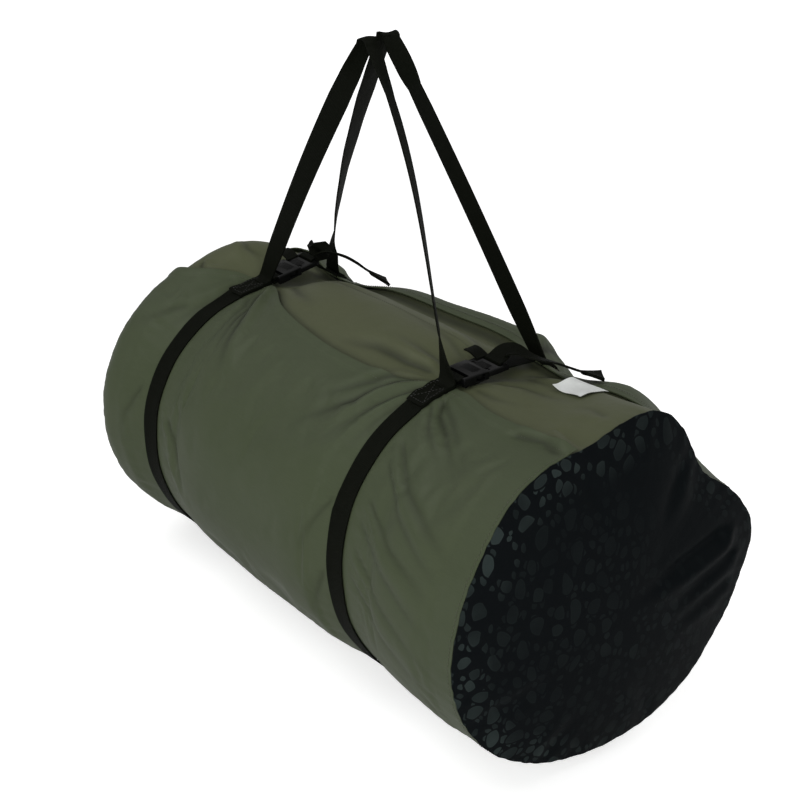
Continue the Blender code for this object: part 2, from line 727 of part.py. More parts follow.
def roll_radii():
    """The inner and outer radius of the folded mat at each step of the roll."""
    count = round(ROLL_TURNS * ROLL_STEPS)
    taper = TAPER_TURNS * ROLL_STEPS
    radii = []
    for step in range(count + 1):
        if step < ROLL_STEPS:
            inner = ROLL_CORE_RADIUS + (FOLDED_THICKNESS + ROLL_GAP) * step / ROLL_STEPS
        else:
            inner = radii[step - ROLL_STEPS][1] + ROLL_GAP
        share = min(1.0, TIP_SHARE + (1.0 - TIP_SHARE) * (count - step) / taper)
        radii.append((inner, inner + FOLDED_THICKNESS * share))
    return radii


def roll_point(x, radius, step):
    turn = 2.0 * math.pi * step / ROLL_STEPS
    return Vector((x, radius * math.sin(turn), ROLL_AXIS_Z + radius * math.cos(turn)))


def make_roll_layer(name, outline, material, collection):
    """A layer of the rolled mat. Outline gives its section as pairs of X and depth, where
    depth is a share of the folded thickness and a distance added to it."""
    sections = []
    for step, (inner, outer) in enumerate(roll_radii()):
        section = []
        for x, share, distance in outline:
            section.append(roll_point(x, inner + (outer - inner) * share + distance, step))
        sections.append(section)
    return mesh_object(name, swept_solid(sections), material, collection)


def make_mat(materials, collection):
    """Two foam halves with the upper fabric folded between them and the base fabric round them."""
    front, back = ROLL_FRONT_X, ROLL_FRONT_X - MAT_WIDTH
    cover = COVER_THICKNESS + LAYER_GAP
    edge = EDGE_COVER
    half = COVER_THICKNESS / 2 + LAYER_GAP
    foam_back = back + edge + LAYER_GAP
    middle = COVER_THICKNESS / 2
    inner_foam = [
        (foam_back, 0, cover), (front, 0, cover), (front, 0.5, -half), (foam_back, 0.5, -half),
    ]
    outer_foam = [
        (foam_back, 0.5, half), (front, 0.5, half), (front, 1, -cover), (foam_back, 1, -cover),
    ]
    upper = [
        (foam_back, 0.5, -middle), (front, 0.5, -middle), (front, 0.5, middle), (foam_back, 0.5, middle),
    ]
    thin = COVER_THICKNESS
    base = [
        (back, 0, 0), (front, 0, 0), (front, 0, thin), (back + edge, 0, thin),
        (back + edge, 1, -thin), (front, 1, -thin), (front, 1, 0), (back, 1, 0),
    ]
    make_roll_layer("foam_inner_half", inner_foam, materials["foam"], collection)
    make_roll_layer("foam_outer_half", outer_foam, materials["foam"], collection)
    make_roll_layer("mat_upper_fabric", upper, materials["mat"], collection)
    make_roll_layer("mat_base_fabric", base, materials["mat"], collection)


def make_roll_band(name, x, material, collection):
    """An elastic band that keeps the mat rolled. It steps down past the mat's outer end."""
    radii = roll_radii()
    count = len(radii) - 1
    sections = []
    for step in range(ROLL_STEPS):
        index = count if step == 0 else count - ROLL_STEPS + step
        inner = radii[index][1] + RUNNING_GAP
        outer = inner + BAND_THICKNESS
        low, high = x - BAND_WIDTH / 2, x + BAND_WIDTH / 2
        corners = ((low, inner), (high, inner), (high, outer), (low, outer))
        sections.append([roll_point(place, radius, index) for place, radius in corners])
    return mesh_object(name, swept_solid(sections, closed=True), material, collection)


def turned_solid(profile, middle):
    """A solid turned about an X axis through middle. Profile is pairs of X and radius."""
    bm = bmesh.new()
    verts = [bm.verts.new(middle + Vector((x, 0.0, radius))) for x, radius in profile]
    edges = [bm.edges.new(pair) for pair in zip(verts, verts[1:])]
    bmesh.ops.spin(
        bm, geom=verts + edges, cent=middle, axis=(1.0, 0.0, 0.0), angle=2.0 * math.pi,
        steps=VALVE_SIDES, use_merge=True,
    )
    bmesh.ops.remove_doubles(bm, verts=bm.verts, dist=POLE_GAP)
    bmesh.ops.recalc_face_normals(bm, faces=bm.faces)
    return bm


def make_valve(name, share, materials, collection):
    """A screw valve in the open edge of the mat, with the cap that closes it."""
    radii = roll_radii()
    step = len(radii) - 1 - round(VALVE_TURNS_BACK * ROLL_STEPS)
    inner, outer = radii[step]
    middle = roll_point(ROLL_FRONT_X + TOUCH_GAP, inner + (outer - inner) * share, step)
    neck_end = VALVE_FLANGE + VALVE_NECK_LENGTH
    body = [
        (0.0, 0.0), (0.0, VALVE_RADIUS), (VALVE_FLANGE, VALVE_RADIUS),
        (VALVE_FLANGE, VALVE_NECK_RADIUS), (neck_end, VALVE_NECK_RADIUS), (neck_end, 0.0),
    ]
    mesh_object(name + "_body", turned_solid(body, middle), materials["valve"], collection)
    start = VALVE_FLANGE + RUNNING_GAP
    bore = VALVE_NECK_RADIUS + RUNNING_GAP
    end = neck_end + RUNNING_GAP + CAP_WALL
    cap = [
        (start, bore), (start, CAP_RADIUS), (end - CAP_WALL, CAP_RADIUS),
        (end, CAP_RADIUS - CAP_WALL), (end, 0.0), (neck_end + RUNNING_GAP, 0.0),
        (neck_end + RUNNING_GAP, bore), (start, bore),
    ]
    cap_bmesh = turned_solid(cap, middle)
    mesh_object(name + "_cap", cap_bmesh, materials["valve_cap"], collection, origin=middle)


def make_materials():
    return {
        "canvas": make_material("olive_canvas", (0.061, 0.072, 0.042), 0.62),
        "print": make_material("black_print", (0.004, 0.006, 0.007), 0.55),
        "webbing": make_material("black_webbing", (0.006, 0.007, 0.005), 0.75),
        "buckle": make_material("black_acetal", (0.005, 0.005, 0.005), 0.28),
        "label": make_material("white_label", (0.72, 0.74, 0.72), 0.50),
        "foam": make_material("yellow_foam", (0.55, 0.47, 0.22), 0.90),
        "mat": make_material("mat_fabric", (0.02, 0.03, 0.035), 0.70),
        "band": make_material("black_elastic", (0.008, 0.008, 0.008), 0.80),
        "valve": make_material("valve_body_plastic", (0.012, 0.012, 0.012), 0.35),
        "valve_cap": make_material("valve_cap_plastic", (0.30, 0.05, 0.02), 0.40),
    }


def tail_route(side):
    """A loose tail's way from the plug, in shares of its length, with the webbing's turn at each."""
    if side < 0:
        return (
            ((0.060, 0.010, 0.100), 0.0),
            ((0.320, -0.100, 0.150), -30.0),
            ((0.545, -0.060, 0.144), -42.0),
            ((0.753, 0.100, 0.055), -50.0),
            ((0.889, 0.290, -0.060), -55.0),
        )
    return (
        ((0.012, 0.170, 0.040), 0.0),
        ((0.205, 0.272, 0.032), -14.0),
        ((0.365, 0.385, -0.036), -40.0),
        ((0.486, 0.526, -0.085), -50.0),
        ((0.590, 0.680, -0.116), -45.0),
    )


def make_fastenings(materials, parts, cutters):
    for side, place in ((-1, "rear"), (1, "front")):
        make_girth_strap(place + "_girth_strap", side, materials["webbing"], parts)
        for at_near, row in ((True, "near"), (False, "far")):
            make_handle_anchor(f"{row}_handle_{place}_end", side, at_near, materials["webbing"], parts)
        frame = buckle_frame(side)
        make_socket(place + "_buckle_socket", frame, materials["buckle"], parts, cutters)
        make_plug(place + "_buckle_plug", frame, materials["buckle"], parts, cutters)
        make_prong(place + "_buckle_back_prong", -1, frame, materials["buckle"], parts)
        make_prong(place + "_buckle_front_prong", 1, frame, materials["buckle"], parts)
        make_socket_tab(place + "_socket_tab", frame, materials["webbing"], parts)
        make_adjuster(place + "_adjuster", side, frame, materials["webbing"], parts)


def main():
    clear_objects()
    parts = make_collection("sleeping_mat")
    cutters = make_collection("cutters")
    materials = make_materials()
    make_bag_panel(materials["canvas"], parts)
    make_top_flap(materials["canvas"], parts)
    make_end_panel("front_end_panel", FRONT_SEAM_X, 1, FRONT_BULGE, materials["print"], parts)
    make_end_panel("back_end_panel", BACK_SEAM_X, -1, BACK_BULGE, materials["print"], parts)
    make_fastenings(materials, parts, cutters)
    make_handle("near", materials["webbing"], parts)
    make_handle("far", materials["webbing"], parts)
    make_label(materials["label"], parts)
    make_mat(materials, parts)
    make_roll_band("rear_roll_band", -BAND_X, materials["band"], parts)
    make_roll_band("front_roll_band", BAND_X, materials["band"], parts)
    for name, share in VALVE_PLACES:
        make_valve(name, share, materials, parts)


main()
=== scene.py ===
import math

import bmesh
import bpy
import numpy as np
from mathutils import Matrix, Vector


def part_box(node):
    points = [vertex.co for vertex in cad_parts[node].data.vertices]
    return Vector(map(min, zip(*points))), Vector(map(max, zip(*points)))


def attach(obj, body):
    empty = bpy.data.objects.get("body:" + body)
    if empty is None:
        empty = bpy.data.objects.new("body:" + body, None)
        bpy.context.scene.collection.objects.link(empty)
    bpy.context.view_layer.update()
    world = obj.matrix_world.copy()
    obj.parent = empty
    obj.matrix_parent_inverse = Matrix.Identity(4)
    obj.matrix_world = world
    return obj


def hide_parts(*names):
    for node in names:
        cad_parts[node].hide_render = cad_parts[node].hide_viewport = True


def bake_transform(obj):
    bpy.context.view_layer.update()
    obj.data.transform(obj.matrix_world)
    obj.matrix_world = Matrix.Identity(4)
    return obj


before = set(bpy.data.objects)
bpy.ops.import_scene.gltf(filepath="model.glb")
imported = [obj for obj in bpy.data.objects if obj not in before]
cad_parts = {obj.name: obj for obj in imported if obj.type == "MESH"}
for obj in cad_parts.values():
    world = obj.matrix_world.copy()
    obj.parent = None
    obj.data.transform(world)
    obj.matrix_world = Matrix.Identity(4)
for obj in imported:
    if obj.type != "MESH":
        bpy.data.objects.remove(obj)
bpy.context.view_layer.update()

scene = bpy.context.scene


# Helpers for pieces
def addObject(name, data):
    made = bpy.data.objects.new(name, data)
    scene.collection.objects.link(made)
    return made


def finishPiece(name, bm, material, sharpAngle=None):
    # With a sharp angle in degrees, edges that bend more stay sharp
    for face in bm.faces:
        face.smooth = True
    mesh = bpy.data.meshes.new(name)
    bm.to_mesh(mesh)
    bm.free()
    mesh.materials.append(material)
    if sharpAngle:
        mesh.set_sharp_from_angle(angle=math.radians(sharpAngle))
    return addObject(name, mesh)


def reworkPiece(piece, change):
    # change takes the piece's mesh, open for bmesh's operators
    bm = bmesh.new()
    bm.from_mesh(piece.data)
    change(bm)
    bm.to_mesh(piece.data)
    bm.free()


def roundEdges(bm, edges, offset):
    bmesh.ops.bevel(
        bm, geom=edges, offset=offset, affect="EDGES", segments=2, profile=0.5, material=-1,
        clamp_overlap=True)


def bentEdges(bm, degrees):
    return [edge for edge in bm.edges
            if len(edge.link_faces) == 2 and edge.calc_face_angle() > math.radians(degrees)]


# Camera, as the photograph was taken
cameraSettings = {
    "azimuth": 54.314,
    "elevation": 23.946,
    "distance": 2.0746,
    "lens": 79.34,
    "target": (0.06176, 0.0, 0.29516),
}


def makeCamera(settings):
    azimuth, elevation = math.radians(settings["azimuth"]), math.radians(settings["elevation"])
    flat = math.cos(elevation)
    back = Vector((math.sin(azimuth) * flat, -math.cos(azimuth) * flat, math.sin(elevation)))
    right = Vector((math.cos(azimuth), math.sin(azimuth), 0.0))
    up = back.cross(right)
    data = bpy.data.cameras.new("camera")
    data.lens = settings["lens"]
    data.sensor_width = 36.0
    camera = addObject("camera", data)
    turn = Matrix((right, up, back)).transposed().to_4x4()
    place = Vector(settings["target"]) + back * settings["distance"]
    camera.matrix_world = Matrix.Translation(place) @ turn
    scene.camera = camera
    print("camera set")


makeCamera(cameraSettings)


# Helpers for shaders. A socket is given another socket, which is linked, or a value, which is set
def give(socket, value):
    if isinstance(value, bpy.types.NodeSocket):
        socket.id_data.links.new(value, socket)
    elif socket.type == "RGBA" and len(value) == 3:
        socket.default_value = (*value, 1.0)
    else:
        socket.default_value = value


def giveAll(sockets, values):
    for label, value in values.items():
        give(sockets[label], value)


def addNode(tree, kind, values=None, operation=None):
    node = tree.nodes.new("ShaderNode" + kind)
    if operation:
        node.operation = operation
    giveAll(node.inputs, values or {})
    return node


def treeOf(values):
    return next(value for value in values if isinstance(value, bpy.types.NodeSocket)).id_data


def calculate(operation, *values):
    return addNode(treeOf(values), "Math", dict(enumerate(values)), operation).outputs[0]


def times(first, *others):
    for value in others:
        first = calculate("MULTIPLY", first, value)
    return first


def timesPlus(value, factor, more):
    return calculate("MULTIPLY_ADD", value, factor, more)


def mapRange(value, fromMin, fromMax, toMin=0.0, toMax=1.0):
    values = {"Value": value, "From Min": fromMin, "From Max": fromMax, "To Min": toMin, "To Max": toMax}
    return addNode(value.id_data, "MapRange", values).outputs["Result"]


def mixColors(share, first, second, blend="MIX"):
    node = addNode(treeOf((share, first, second)), "Mix")
    node.data_type = "RGBA"
    node.blend_type = blend
    giveAll(node.inputs, {0: share, 6: first, 7: second})
    return node.outputs[2]


def noise(vector, scale, detail=3.0, roughness=0.5):
    values = {"Vector": vector, "Scale": scale, "Detail": detail, "Roughness": roughness}
    return addNode(vector.id_data, "TexNoise", values).outputs["Fac"]


def stretch(vector, scale):
    return addNode(vector.id_data, "Mapping", {"Vector": vector, "Scale": scale}).outputs["Vector"]


def axesOf(vector):
    return addNode(vector.id_data, "SeparateXYZ", {0: vector}).outputs


def markOf(vector, name):
    # A value that the mesh carries at its corners
    node = addNode(vector.id_data, "Attribute")
    node.attribute_name = name
    return node.outputs["Fac"]


def shaded(color, factor):
    return tuple(value * factor for value in color)


def newMaterial(name, roughness, values=None):
    # A material, with the UV map and the object's own axes
    material = bpy.data.materials.new(name)
    material.use_nodes = True
    shader = material.node_tree.nodes["Principled BSDF"]
    giveAll(shader.inputs, {"Roughness": roughness, **(values or {})})
    coordinates = addNode(material.node_tree, "TexCoord").outputs
    return material, coordinates["UV"], coordinates["Object"]


def finishMaterial(material, color, dust=None, rough=None, bumps=()):
    # dust holds its amount and scale. Bumps are (height, strength, distance), each over the one before
    shader = material.node_tree.nodes["Principled BSDF"].inputs
    if dust:
        color = useEffect("dust", {"Color": color, **dust})["Color"]
    give(shader["Base Color"], color)
    if rough is not None:
        give(shader["Roughness"], rough)
    before = {}
    for height, strength, distance in bumps:
        values = {"Height": height, "Strength": strength, "Distance": distance, **before}
        before = {"Normal": addNode(material.node_tree, "Bump", values).outputs["Normal"]}
        giveAll(shader, before)
    return material


# Stage and light
stageSettings = {
    "floorSize": 12.0,
    "floorColor": (0.86, 0.86, 0.86),
    "floorRoughness": 0.9,
    "worldColor": (1.0, 1.0, 1.0),
    "worldStrength": 0.25,
    "glossStrength": 0.35,       # the world in reflections
    "backdropStrength": 1.0,     # and behind the object
    "floorGlow": 0.62,           # what the camera alone sees added to the floor
    "farGlow": 1.0,              # and farther away than glowReach
    "glowReach": (1.6, 3.6),
    "lampTarget": (0.05, 0.0, 0.2),
    "lamps": (
        # name, place, size, watts
        ("keyLamp", (-1.3, -1.7, 3.4), 2.2, 39.0),
        ("fillLamp", (3.0, -1.8, 1.4), 2.2, 49.0),
        ("frontLamp", (1.4, -3.0, 1.6), 2.4, 24.0),
        ("rimLamp", (0.6, 2.8, 2.4), 2.2, 29.0),
    ),
}


def makeStage(settings):
    bm = bmesh.new()
    bmesh.ops.create_grid(bm, x_segments=1, y_segments=1, size=settings["floorSize"] / 2)
    material, _surface, solid = newMaterial(
        "paleFloor", settings["floorRoughness"], {"Emission Color": (1.0, 1.0, 1.0)})
    tree = material.node_tree
    away = addNode(tree, "VectorMath", {0: solid}, "LENGTH").outputs["Value"]
    glow = mapRange(away, *settings["glowReach"], settings["floorGlow"], settings["farGlow"])
    glow = times(addNode(tree, "LightPath").outputs["Is Camera Ray"], glow)
    give(tree.nodes["Principled BSDF"].inputs["Emission Strength"], glow)
    finishPiece("floor", bm, finishMaterial(material, settings["floorColor"]))

    world = bpy.data.worlds.new("studio")
    world.use_nodes = True
    scene.world = world
    rays = addNode(world.node_tree, "LightPath").outputs
    strength = settings["worldStrength"]
    for ray, value in (("Is Glossy Ray", "glossStrength"), ("Is Camera Ray", "backdropStrength")):
        mix = addNode(world.node_tree, "Mix", {0: rays[ray], 2: strength, 3: settings[value]})
        strength = mix.outputs[0]
    background = world.node_tree.nodes["Background"].inputs
    giveAll(background, {"Color": settings["worldColor"], "Strength": strength})

    for name, place, size, watts in settings["lamps"]:
        data = bpy.data.lights.new(name, "AREA")
        data.shape = "DISK"
        data.size = size
        data.energy = watts
        lamp = addObject(name, data)
        lamp.location = place
        towards = Vector(settings["lampTarget"]) - Vector(place)
        lamp.rotation_euler = towards.to_track_quat("-Z", "Y").to_euler()
    scene.view_settings.view_transform = "Standard"
    print("stage and lamps set")


makeStage(stageSettings)


# Shared shader effects, each a node group
def makeGroup(build, inputs):
    # inputs are (name, kind, value). build takes their sockets, and gives an output's socket for each name
    group = bpy.data.node_groups.new(build.__name__, "ShaderNodeTree")
    for label, kind, value in inputs:
        socket = group.interface.new_socket(label, in_out="INPUT", socket_type="NodeSocket" + kind)
        if value is not None:
            socket.default_value = value
    given = group.nodes.new("NodeGroupInput")
    made = build(*[given.outputs[label] for label, _kind, _value in inputs])
    kinds = {"VALUE": "NodeSocketFloat", "RGBA": "NodeSocketColor"}
    for label, source in made.items():
        group.interface.new_socket(label, in_out="OUTPUT", socket_type=kinds[source.type])
    giveAll(group.nodes.new("NodeGroupOutput").inputs, made)
    return group


def clothWeave(vector, pitch):
    # A fine plain weave over a piece's own UV map, in metres
    warp, weft = (
        calculate("SINE", times(calculate("DIVIDE", way, pitch), math.pi)) for way in axesOf(vector)[:2])
    slubs = noise(stretch(vector, (60.0, 900.0, 1.0)), 1.0, 2.0)
    return {"Height": timesPlus(times(warp, weft), 0.5, 0.5), "Slub": slubs}


def webbingWeave(vector, rib, pick):
    # The ribs and crossing threads of narrow webbing, over a UV map in metres, U along it
    along, across = axesOf(vector)[:2]
    along, across = calculate("DIVIDE", along, pick), calculate("DIVIDE", across, rib)
    ribs = calculate("ABSOLUTE", calculate("SINE", times(across, math.pi)))
    offset = times(calculate("FLOOR", across), 0.5)
    picks = calculate("SINE", times(calculate("ADD", along, offset), 2 * math.pi))
    picks = timesPlus(picks, 0.5, 0.5)
    return {"Height": times(ribs, timesPlus(picks, 0.6, 0.4)), "Thread": picks}


def dust(color, dustColor, amount, scale):
    # Pale lint that settles on what faces up, with a broken edge
    up = axesOf(addNode(color.id_data, "NewGeometry").outputs["Normal"])[2]
    speckle = noise(addNode(color.id_data, "TexCoord").outputs["Object"], scale, 4.0, 0.65)
    mask = times(calculate("POWER", speckle, 2.0), timesPlus(up, 0.5, 0.5), amount)
    return {"Color": mixColors(mask, color, dustColor)}


def edgeWear(color, wornColor, amount):
    # A paler line along edges, from the bend of the surface
    edge = mapRange(addNode(color.id_data, "NewGeometry").outputs["Pointiness"], 0.52, 0.62)
    chips = noise(addNode(color.id_data, "TexCoord").outputs["Object"], 220.0, 4.0, 0.6)
    return {"Color": mixColors(times(edge, chips, amount), color, wornColor)}


effects = {
    "cloth": makeGroup(clothWeave, (("Vector", "Vector", None), ("Pitch", "Float", 0.0009))),
    "webbing": makeGroup(
        webbingWeave, (("Vector", "Vector", None), ("Rib", "Float", 0.0016), ("Pick", "Float", 0.0012))),
    "dust": makeGroup(dust, (
        ("Color", "Color", None), ("Dust Color", "Color", (0.30, 0.29, 0.25, 1.0)),
        ("Amount", "Float", 0.1), ("Scale", "Float", 40.0))),
    "wear": makeGroup(edgeWear, (
        ("Color", "Color", None), ("Worn Color", "Color", (0.2, 0.2, 0.2, 1.0)), ("Amount", "Float", 0.5))),
}


def useEffect(name, values):
    node = addNode(treeOf(values.values()), "Group")
    node.node_tree = effects[name]
    giveAll(node.inputs, values)
    return node.outputs


# Materials
clothColors = {
    "olive": (0.0555, 0.0705, 0.0370),
    "oliveShade": (0.048, 0.062, 0.033),
    "oliveSun": (0.068, 0.080, 0.043),
    # flap is paler than olive: partly the flap's own tone, partly painted light for its upturned face, which
    # the lamps light less
    "flap": (0.092, 0.098, 0.050),
    # fold is the colour of the painted shade in the bottoms of folds
    "fold": (0.016, 0.019, 0.010),
    "lint": (0.30, 0.30, 0.25),
}


def makeCanvas(name, base):
    # Coated polyester: a satin sheen, a fine weave, soft wrinkles, and a painted shade that darkens the
    # bottoms of its folds
    material, surface, solid = newMaterial(
        name, 0.5, {"Sheen Weight": 0.03, "Sheen Roughness": 0.35, "Specular IOR Level": 0.15})
    weave = useEffect("cloth", {"Pitch": 0.0008, "Vector": surface})
    color = mixColors(noise(solid, 5.0), clothColors["oliveShade"], clothColors["oliveSun"])
    threads = mixColors(weave["Slub"], (0.90, 0.90, 0.90), (1.10, 1.10, 1.10))
    color = mixColors(1.0, mixColors(0.62, color, base), threads, "MULTIPLY")
    # Painted shade: darker, towards the fold colour, where the valley mark says a point lies deep in a fold
    # or under a covering edge
    color = mixColors(markOf(surface, "valley"), color, clothColors["fold"])
    wrinkles = noise(stretch(solid, (26.0, 44.0, 44.0)), 1.0, 5.0, 0.52)
    return finishMaterial(
        material, color, {"Amount": 0.05, "Scale": 26.0, "Dust Color": clothColors["lint"]},
        timesPlus(noise(solid, 18.0, 4.0), 0.14, 0.44),
        ((wrinkles, 0.20, 0.004), (weave["Height"], 0.15, 0.0002)))


def makeWebbing(name, base, worn):
    # Black webbing: its weave's hollows darker, a painted shade, and its raised threads paler, in the worn
    # colour
    material, surface, _solid = newMaterial(name, 0.62, {"Specular IOR Level": 0.03})
    weave = useEffect("webbing", {"Rib": 0.0019, "Pick": 0.0016, "Vector": surface})
    color = mixColors(0.60, mixColors(weave["Height"], shaded(base, 0.45), worn), base)
    return finishMaterial(
        material, color, {"Amount": 0.012, "Scale": 90.0}, timesPlus(weave["Thread"], 0.16, 0.50),
        ((weave["Height"], 0.7, 0.0006),))


def makeThread(name, color):
    material, _surface, solid = newMaterial(name, 0.55)
    twist = noise(stretch(solid, (900.0, 900.0, 900.0)), 1.0)
    color = mixColors(twist, shaded(color, 0.6), color)
    return finishMaterial(material, color, bumps=((twist, 0.4, 0.0002),))


def makePlastic(name, base, worn, roughness, shine=0.5):
    # Moulded acetal: a fine spark-eroded grain, and paler edges
    material, _surface, solid = newMaterial(name, roughness, {"Specular IOR Level": shine})
    grain, flow = noise(solid, 1400.0, 2.0), noise(solid, 60.0)
    color = mixColors(flow, base, shaded(base, 1.6))
    color = useEffect("wear", {"Worn Color": worn, "Amount": 0.6, "Color": color})["Color"]
    return finishMaterial(
        material, color, {"Amount": 0.02, "Scale": 160.0}, timesPlus(flow, 0.16, roughness - 0.08),
        ((grain, 0.25, 0.0002),))


printColors = {
    "ground": (0.0030, 0.0042, 0.0049),
    "stone": (0.0270, 0.0370, 0.0355),
    "line": (0.0360, 0.0470, 0.0440),
    "large": {"spacing": 46.0, "round": 1.40, "least": -0.30, "spare": 0.16, "left": 0.80, "turn": 0.5},
    "small": {"spacing": 96.0, "round": 1.20, "least": -0.26, "spare": 0.20, "left": 0.72, "turn": 1.9},
    "rimPrintAndSheenAmount": 1.0,
    "middleAmount": 0.20,
    "bend": 0.45,                # how far the grid of stones is bent, in stones, and how finely
    "bendScale": 0.9,
    "squash": 0.74,
    "uneven": 0.95,
    "soft": 0.06,                # the width of a stone's soft edge, as a share of its cell
    "lineAt": 0.07,
    "lineAmount": 0.30,
    "shadeRange": 0.55,
}


def stoneLayer(surface, settings):
    # Rounded stones, each in its own cell of a bent grid: how far inside a stone, and its shade
    tree, spacing = surface.id_data, settings["spacing"]
    bent = addNode(tree, "TexNoise", {
        "Scale": spacing * printColors["bendScale"], "Detail": 0.0, "Vector": surface})
    turned = addNode(tree, "Mapping", {
        "Rotation": (0.0, 0.0, settings["turn"]), "Scale": (1.0, printColors["squash"], 1.0),
        "Vector": surface})
    sway = (printColors["bend"] / spacing, printColors["bend"] / spacing, 0.0)
    parts = {0: bent.outputs["Color"], 1: sway, 2: turned.outputs["Vector"]}
    drift = addNode(tree, "VectorMath", parts, "MULTIPLY_ADD").outputs[0]
    cells = []
    for feature in ("DISTANCE_TO_EDGE", "F1"):
        node = addNode(tree, "TexVoronoi")
        node.voronoi_dimensions = "2D"
        node.feature = feature
        giveAll(node.inputs, {"Scale": spacing, "Randomness": printColors["uneven"], "Vector": drift})
        cells.append(node.outputs)
    edge, middle = cells
    shades = addNode(tree, "SeparateColor", {"Color": middle["Color"]}).outputs
    inset = timesPlus(shades[0], settings["spare"], settings["least"])
    corner = times(middle["Distance"], settings["round"])
    inside = calculate("SUBTRACT", edge["Distance"], calculate("ADD", inset, corner))
    kept = calculate("LESS_THAN", shades[2], settings["left"])
    return calculate("MINIMUM", inside, timesPlus(kept, 2.0, -1.0)), shades[1]


def makePrint():
    # Near-black cloth printed with faint rounded stones, largest and clearest towards the near rim. Their
    # clearness there is partly the print and partly a painted sheen
    material, surface, solid = newMaterial("blackPrint", 0.50, {"Specular IOR Level": 0.03})
    across, up = axesOf(surface)[:2]
    # How clear the stones are at the near rim and near side: partly the print, partly a painted sheen where
    # the rim turns towards the light
    printAndSheenNearSide = mapRange(across, 0.07, -0.07, 0.28, 1.0)
    printAndSheenAtRim = mapRange(markOf(surface, "rimShare"), 0.74, 0.93)
    patches = mapRange(noise(surface, 15.0, 2.0), 0.36, 0.58, 0.45, 1.0)
    plain = mapRange(calculate("ADD", across, up), 0.15, 0.04, 0.05, 1.0)
    faint = times(plain, patches, printColors["middleAmount"])
    clear = calculate("MAXIMUM", times(printAndSheenAtRim, printAndSheenNearSide, patches, printColors["rimPrintAndSheenAmount"]), faint)
    large, largeShade = stoneLayer(surface, printColors["large"])
    small, smallShade = stoneLayer(surface, printColors["small"])
    apart = mapRange(large, -0.12, -0.20)
    color, soft = printColors["ground"], printColors["soft"]
    shadeRange = printColors["shadeRange"]
    for inside, shade, room in ((large, largeShade, 1.0), (small, smallShade, apart)):
        amount = times(clear, timesPlus(shade, shadeRange, 1.0 - shadeRange), room)
        color = mixColors(times(mapRange(inside, 0.0, soft), amount), color, printColors["stone"])
        fromLine = calculate("ABSOLUTE", calculate("SUBTRACT", inside, printColors["lineAt"]))
        line = times(mapRange(fromLine, soft, 0.0), amount, printColors["lineAmount"])
        color = mixColors(line, color, printColors["line"])
    weave = useEffect("cloth", {"Pitch": 0.0009, "Vector": surface})
    wrinkles = noise(stretch(solid, (40.0, 30.0, 22.0)), 1.0, 5.0, 0.55)
    return finishMaterial(
        material, color, {"Amount": 0.004, "Scale": 40.0},
        bumps=((wrinkles, 0.20, 0.004), (weave["Height"], 0.2, 0.0002)))


def makeSatin():
    # The care label's white tape: a ribbed satin, greyer in random patches, a painted shade meant for its
    # folds
    material, surface, solid = newMaterial("whiteSatin", 0.45, {"Sheen Weight": 0.2})
    weave = useEffect("cloth", {"Pitch": 0.0006, "Vector": surface})
    color = mixColors(noise(solid, 90.0, 4.0), (0.60, 0.62, 0.60), (0.80, 0.82, 0.80))
    return finishMaterial(material, color, bumps=((weave["Height"], 0.3, 0.0002),))


def makeFoam():
    material, _surface, solid = newMaterial("openCellFoam", 0.92)
    cells = addNode(solid.id_data, "TexVoronoi", {"Scale": 620.0, "Vector": solid}).outputs["Distance"]
    color = mixColors(noise(solid, 14.0, 4.0), (0.50, 0.41, 0.17), (0.63, 0.55, 0.28))
    # darker in the pits of its cells: a painted shade in the pores
    color = mixColors(cells, (0.30, 0.23, 0.09), color)
    return finishMaterial(material, color, bumps=((cells, 0.8, 0.0008),))


def makeMatCloth():
    material, surface, solid = newMaterial("matCloth", 0.66, {"Sheen Weight": 0.15})
    weave = useEffect("cloth", {"Pitch": 0.0007, "Vector": surface})
    color = mixColors(noise(solid, 8.0), (0.014, 0.022, 0.027), (0.028, 0.040, 0.046))
    return finishMaterial(
        material, color, {"Amount": 0.05, "Scale": 60.0}, bumps=((weave["Height"], 0.4, 0.0003),))


materials = {
    "canvas": makeCanvas("oliveCanvas", clothColors["olive"]),
    "flap": makeCanvas("oliveFlapWithPaintedLight", clothColors["flap"]),
    "print": makePrint(),
    "webbing": makeWebbing("blackWebbing", (0.0030, 0.0037, 0.0022), (0.011, 0.013, 0.008)),
    "elastic": makeWebbing("blackElastic", (0.008, 0.008, 0.009), (0.022, 0.022, 0.024)),
    "buckle": makePlastic("blackAcetal", (0.0024, 0.0025, 0.0025), (0.011, 0.011, 0.011), 0.22, 0.11),
    "oliveThread": makeThread("oliveThread", (0.080, 0.085, 0.055)),
    "blackThread": makeThread("blackThread", (0.022, 0.023, 0.020)),
    "label": makeSatin(),
    "foam": makeFoam(),
    "matCloth": makeMatCloth(),
    "valveBody": makePlastic("valveBodyPlastic", (0.012, 0.012, 0.012), (0.07, 0.07, 0.07), 0.35),
    "valveCap": makePlastic("valveCapPlastic", (0.26, 0.042, 0.016), (0.45, 0.14, 0.07), 0.38),
}
print("materials made")


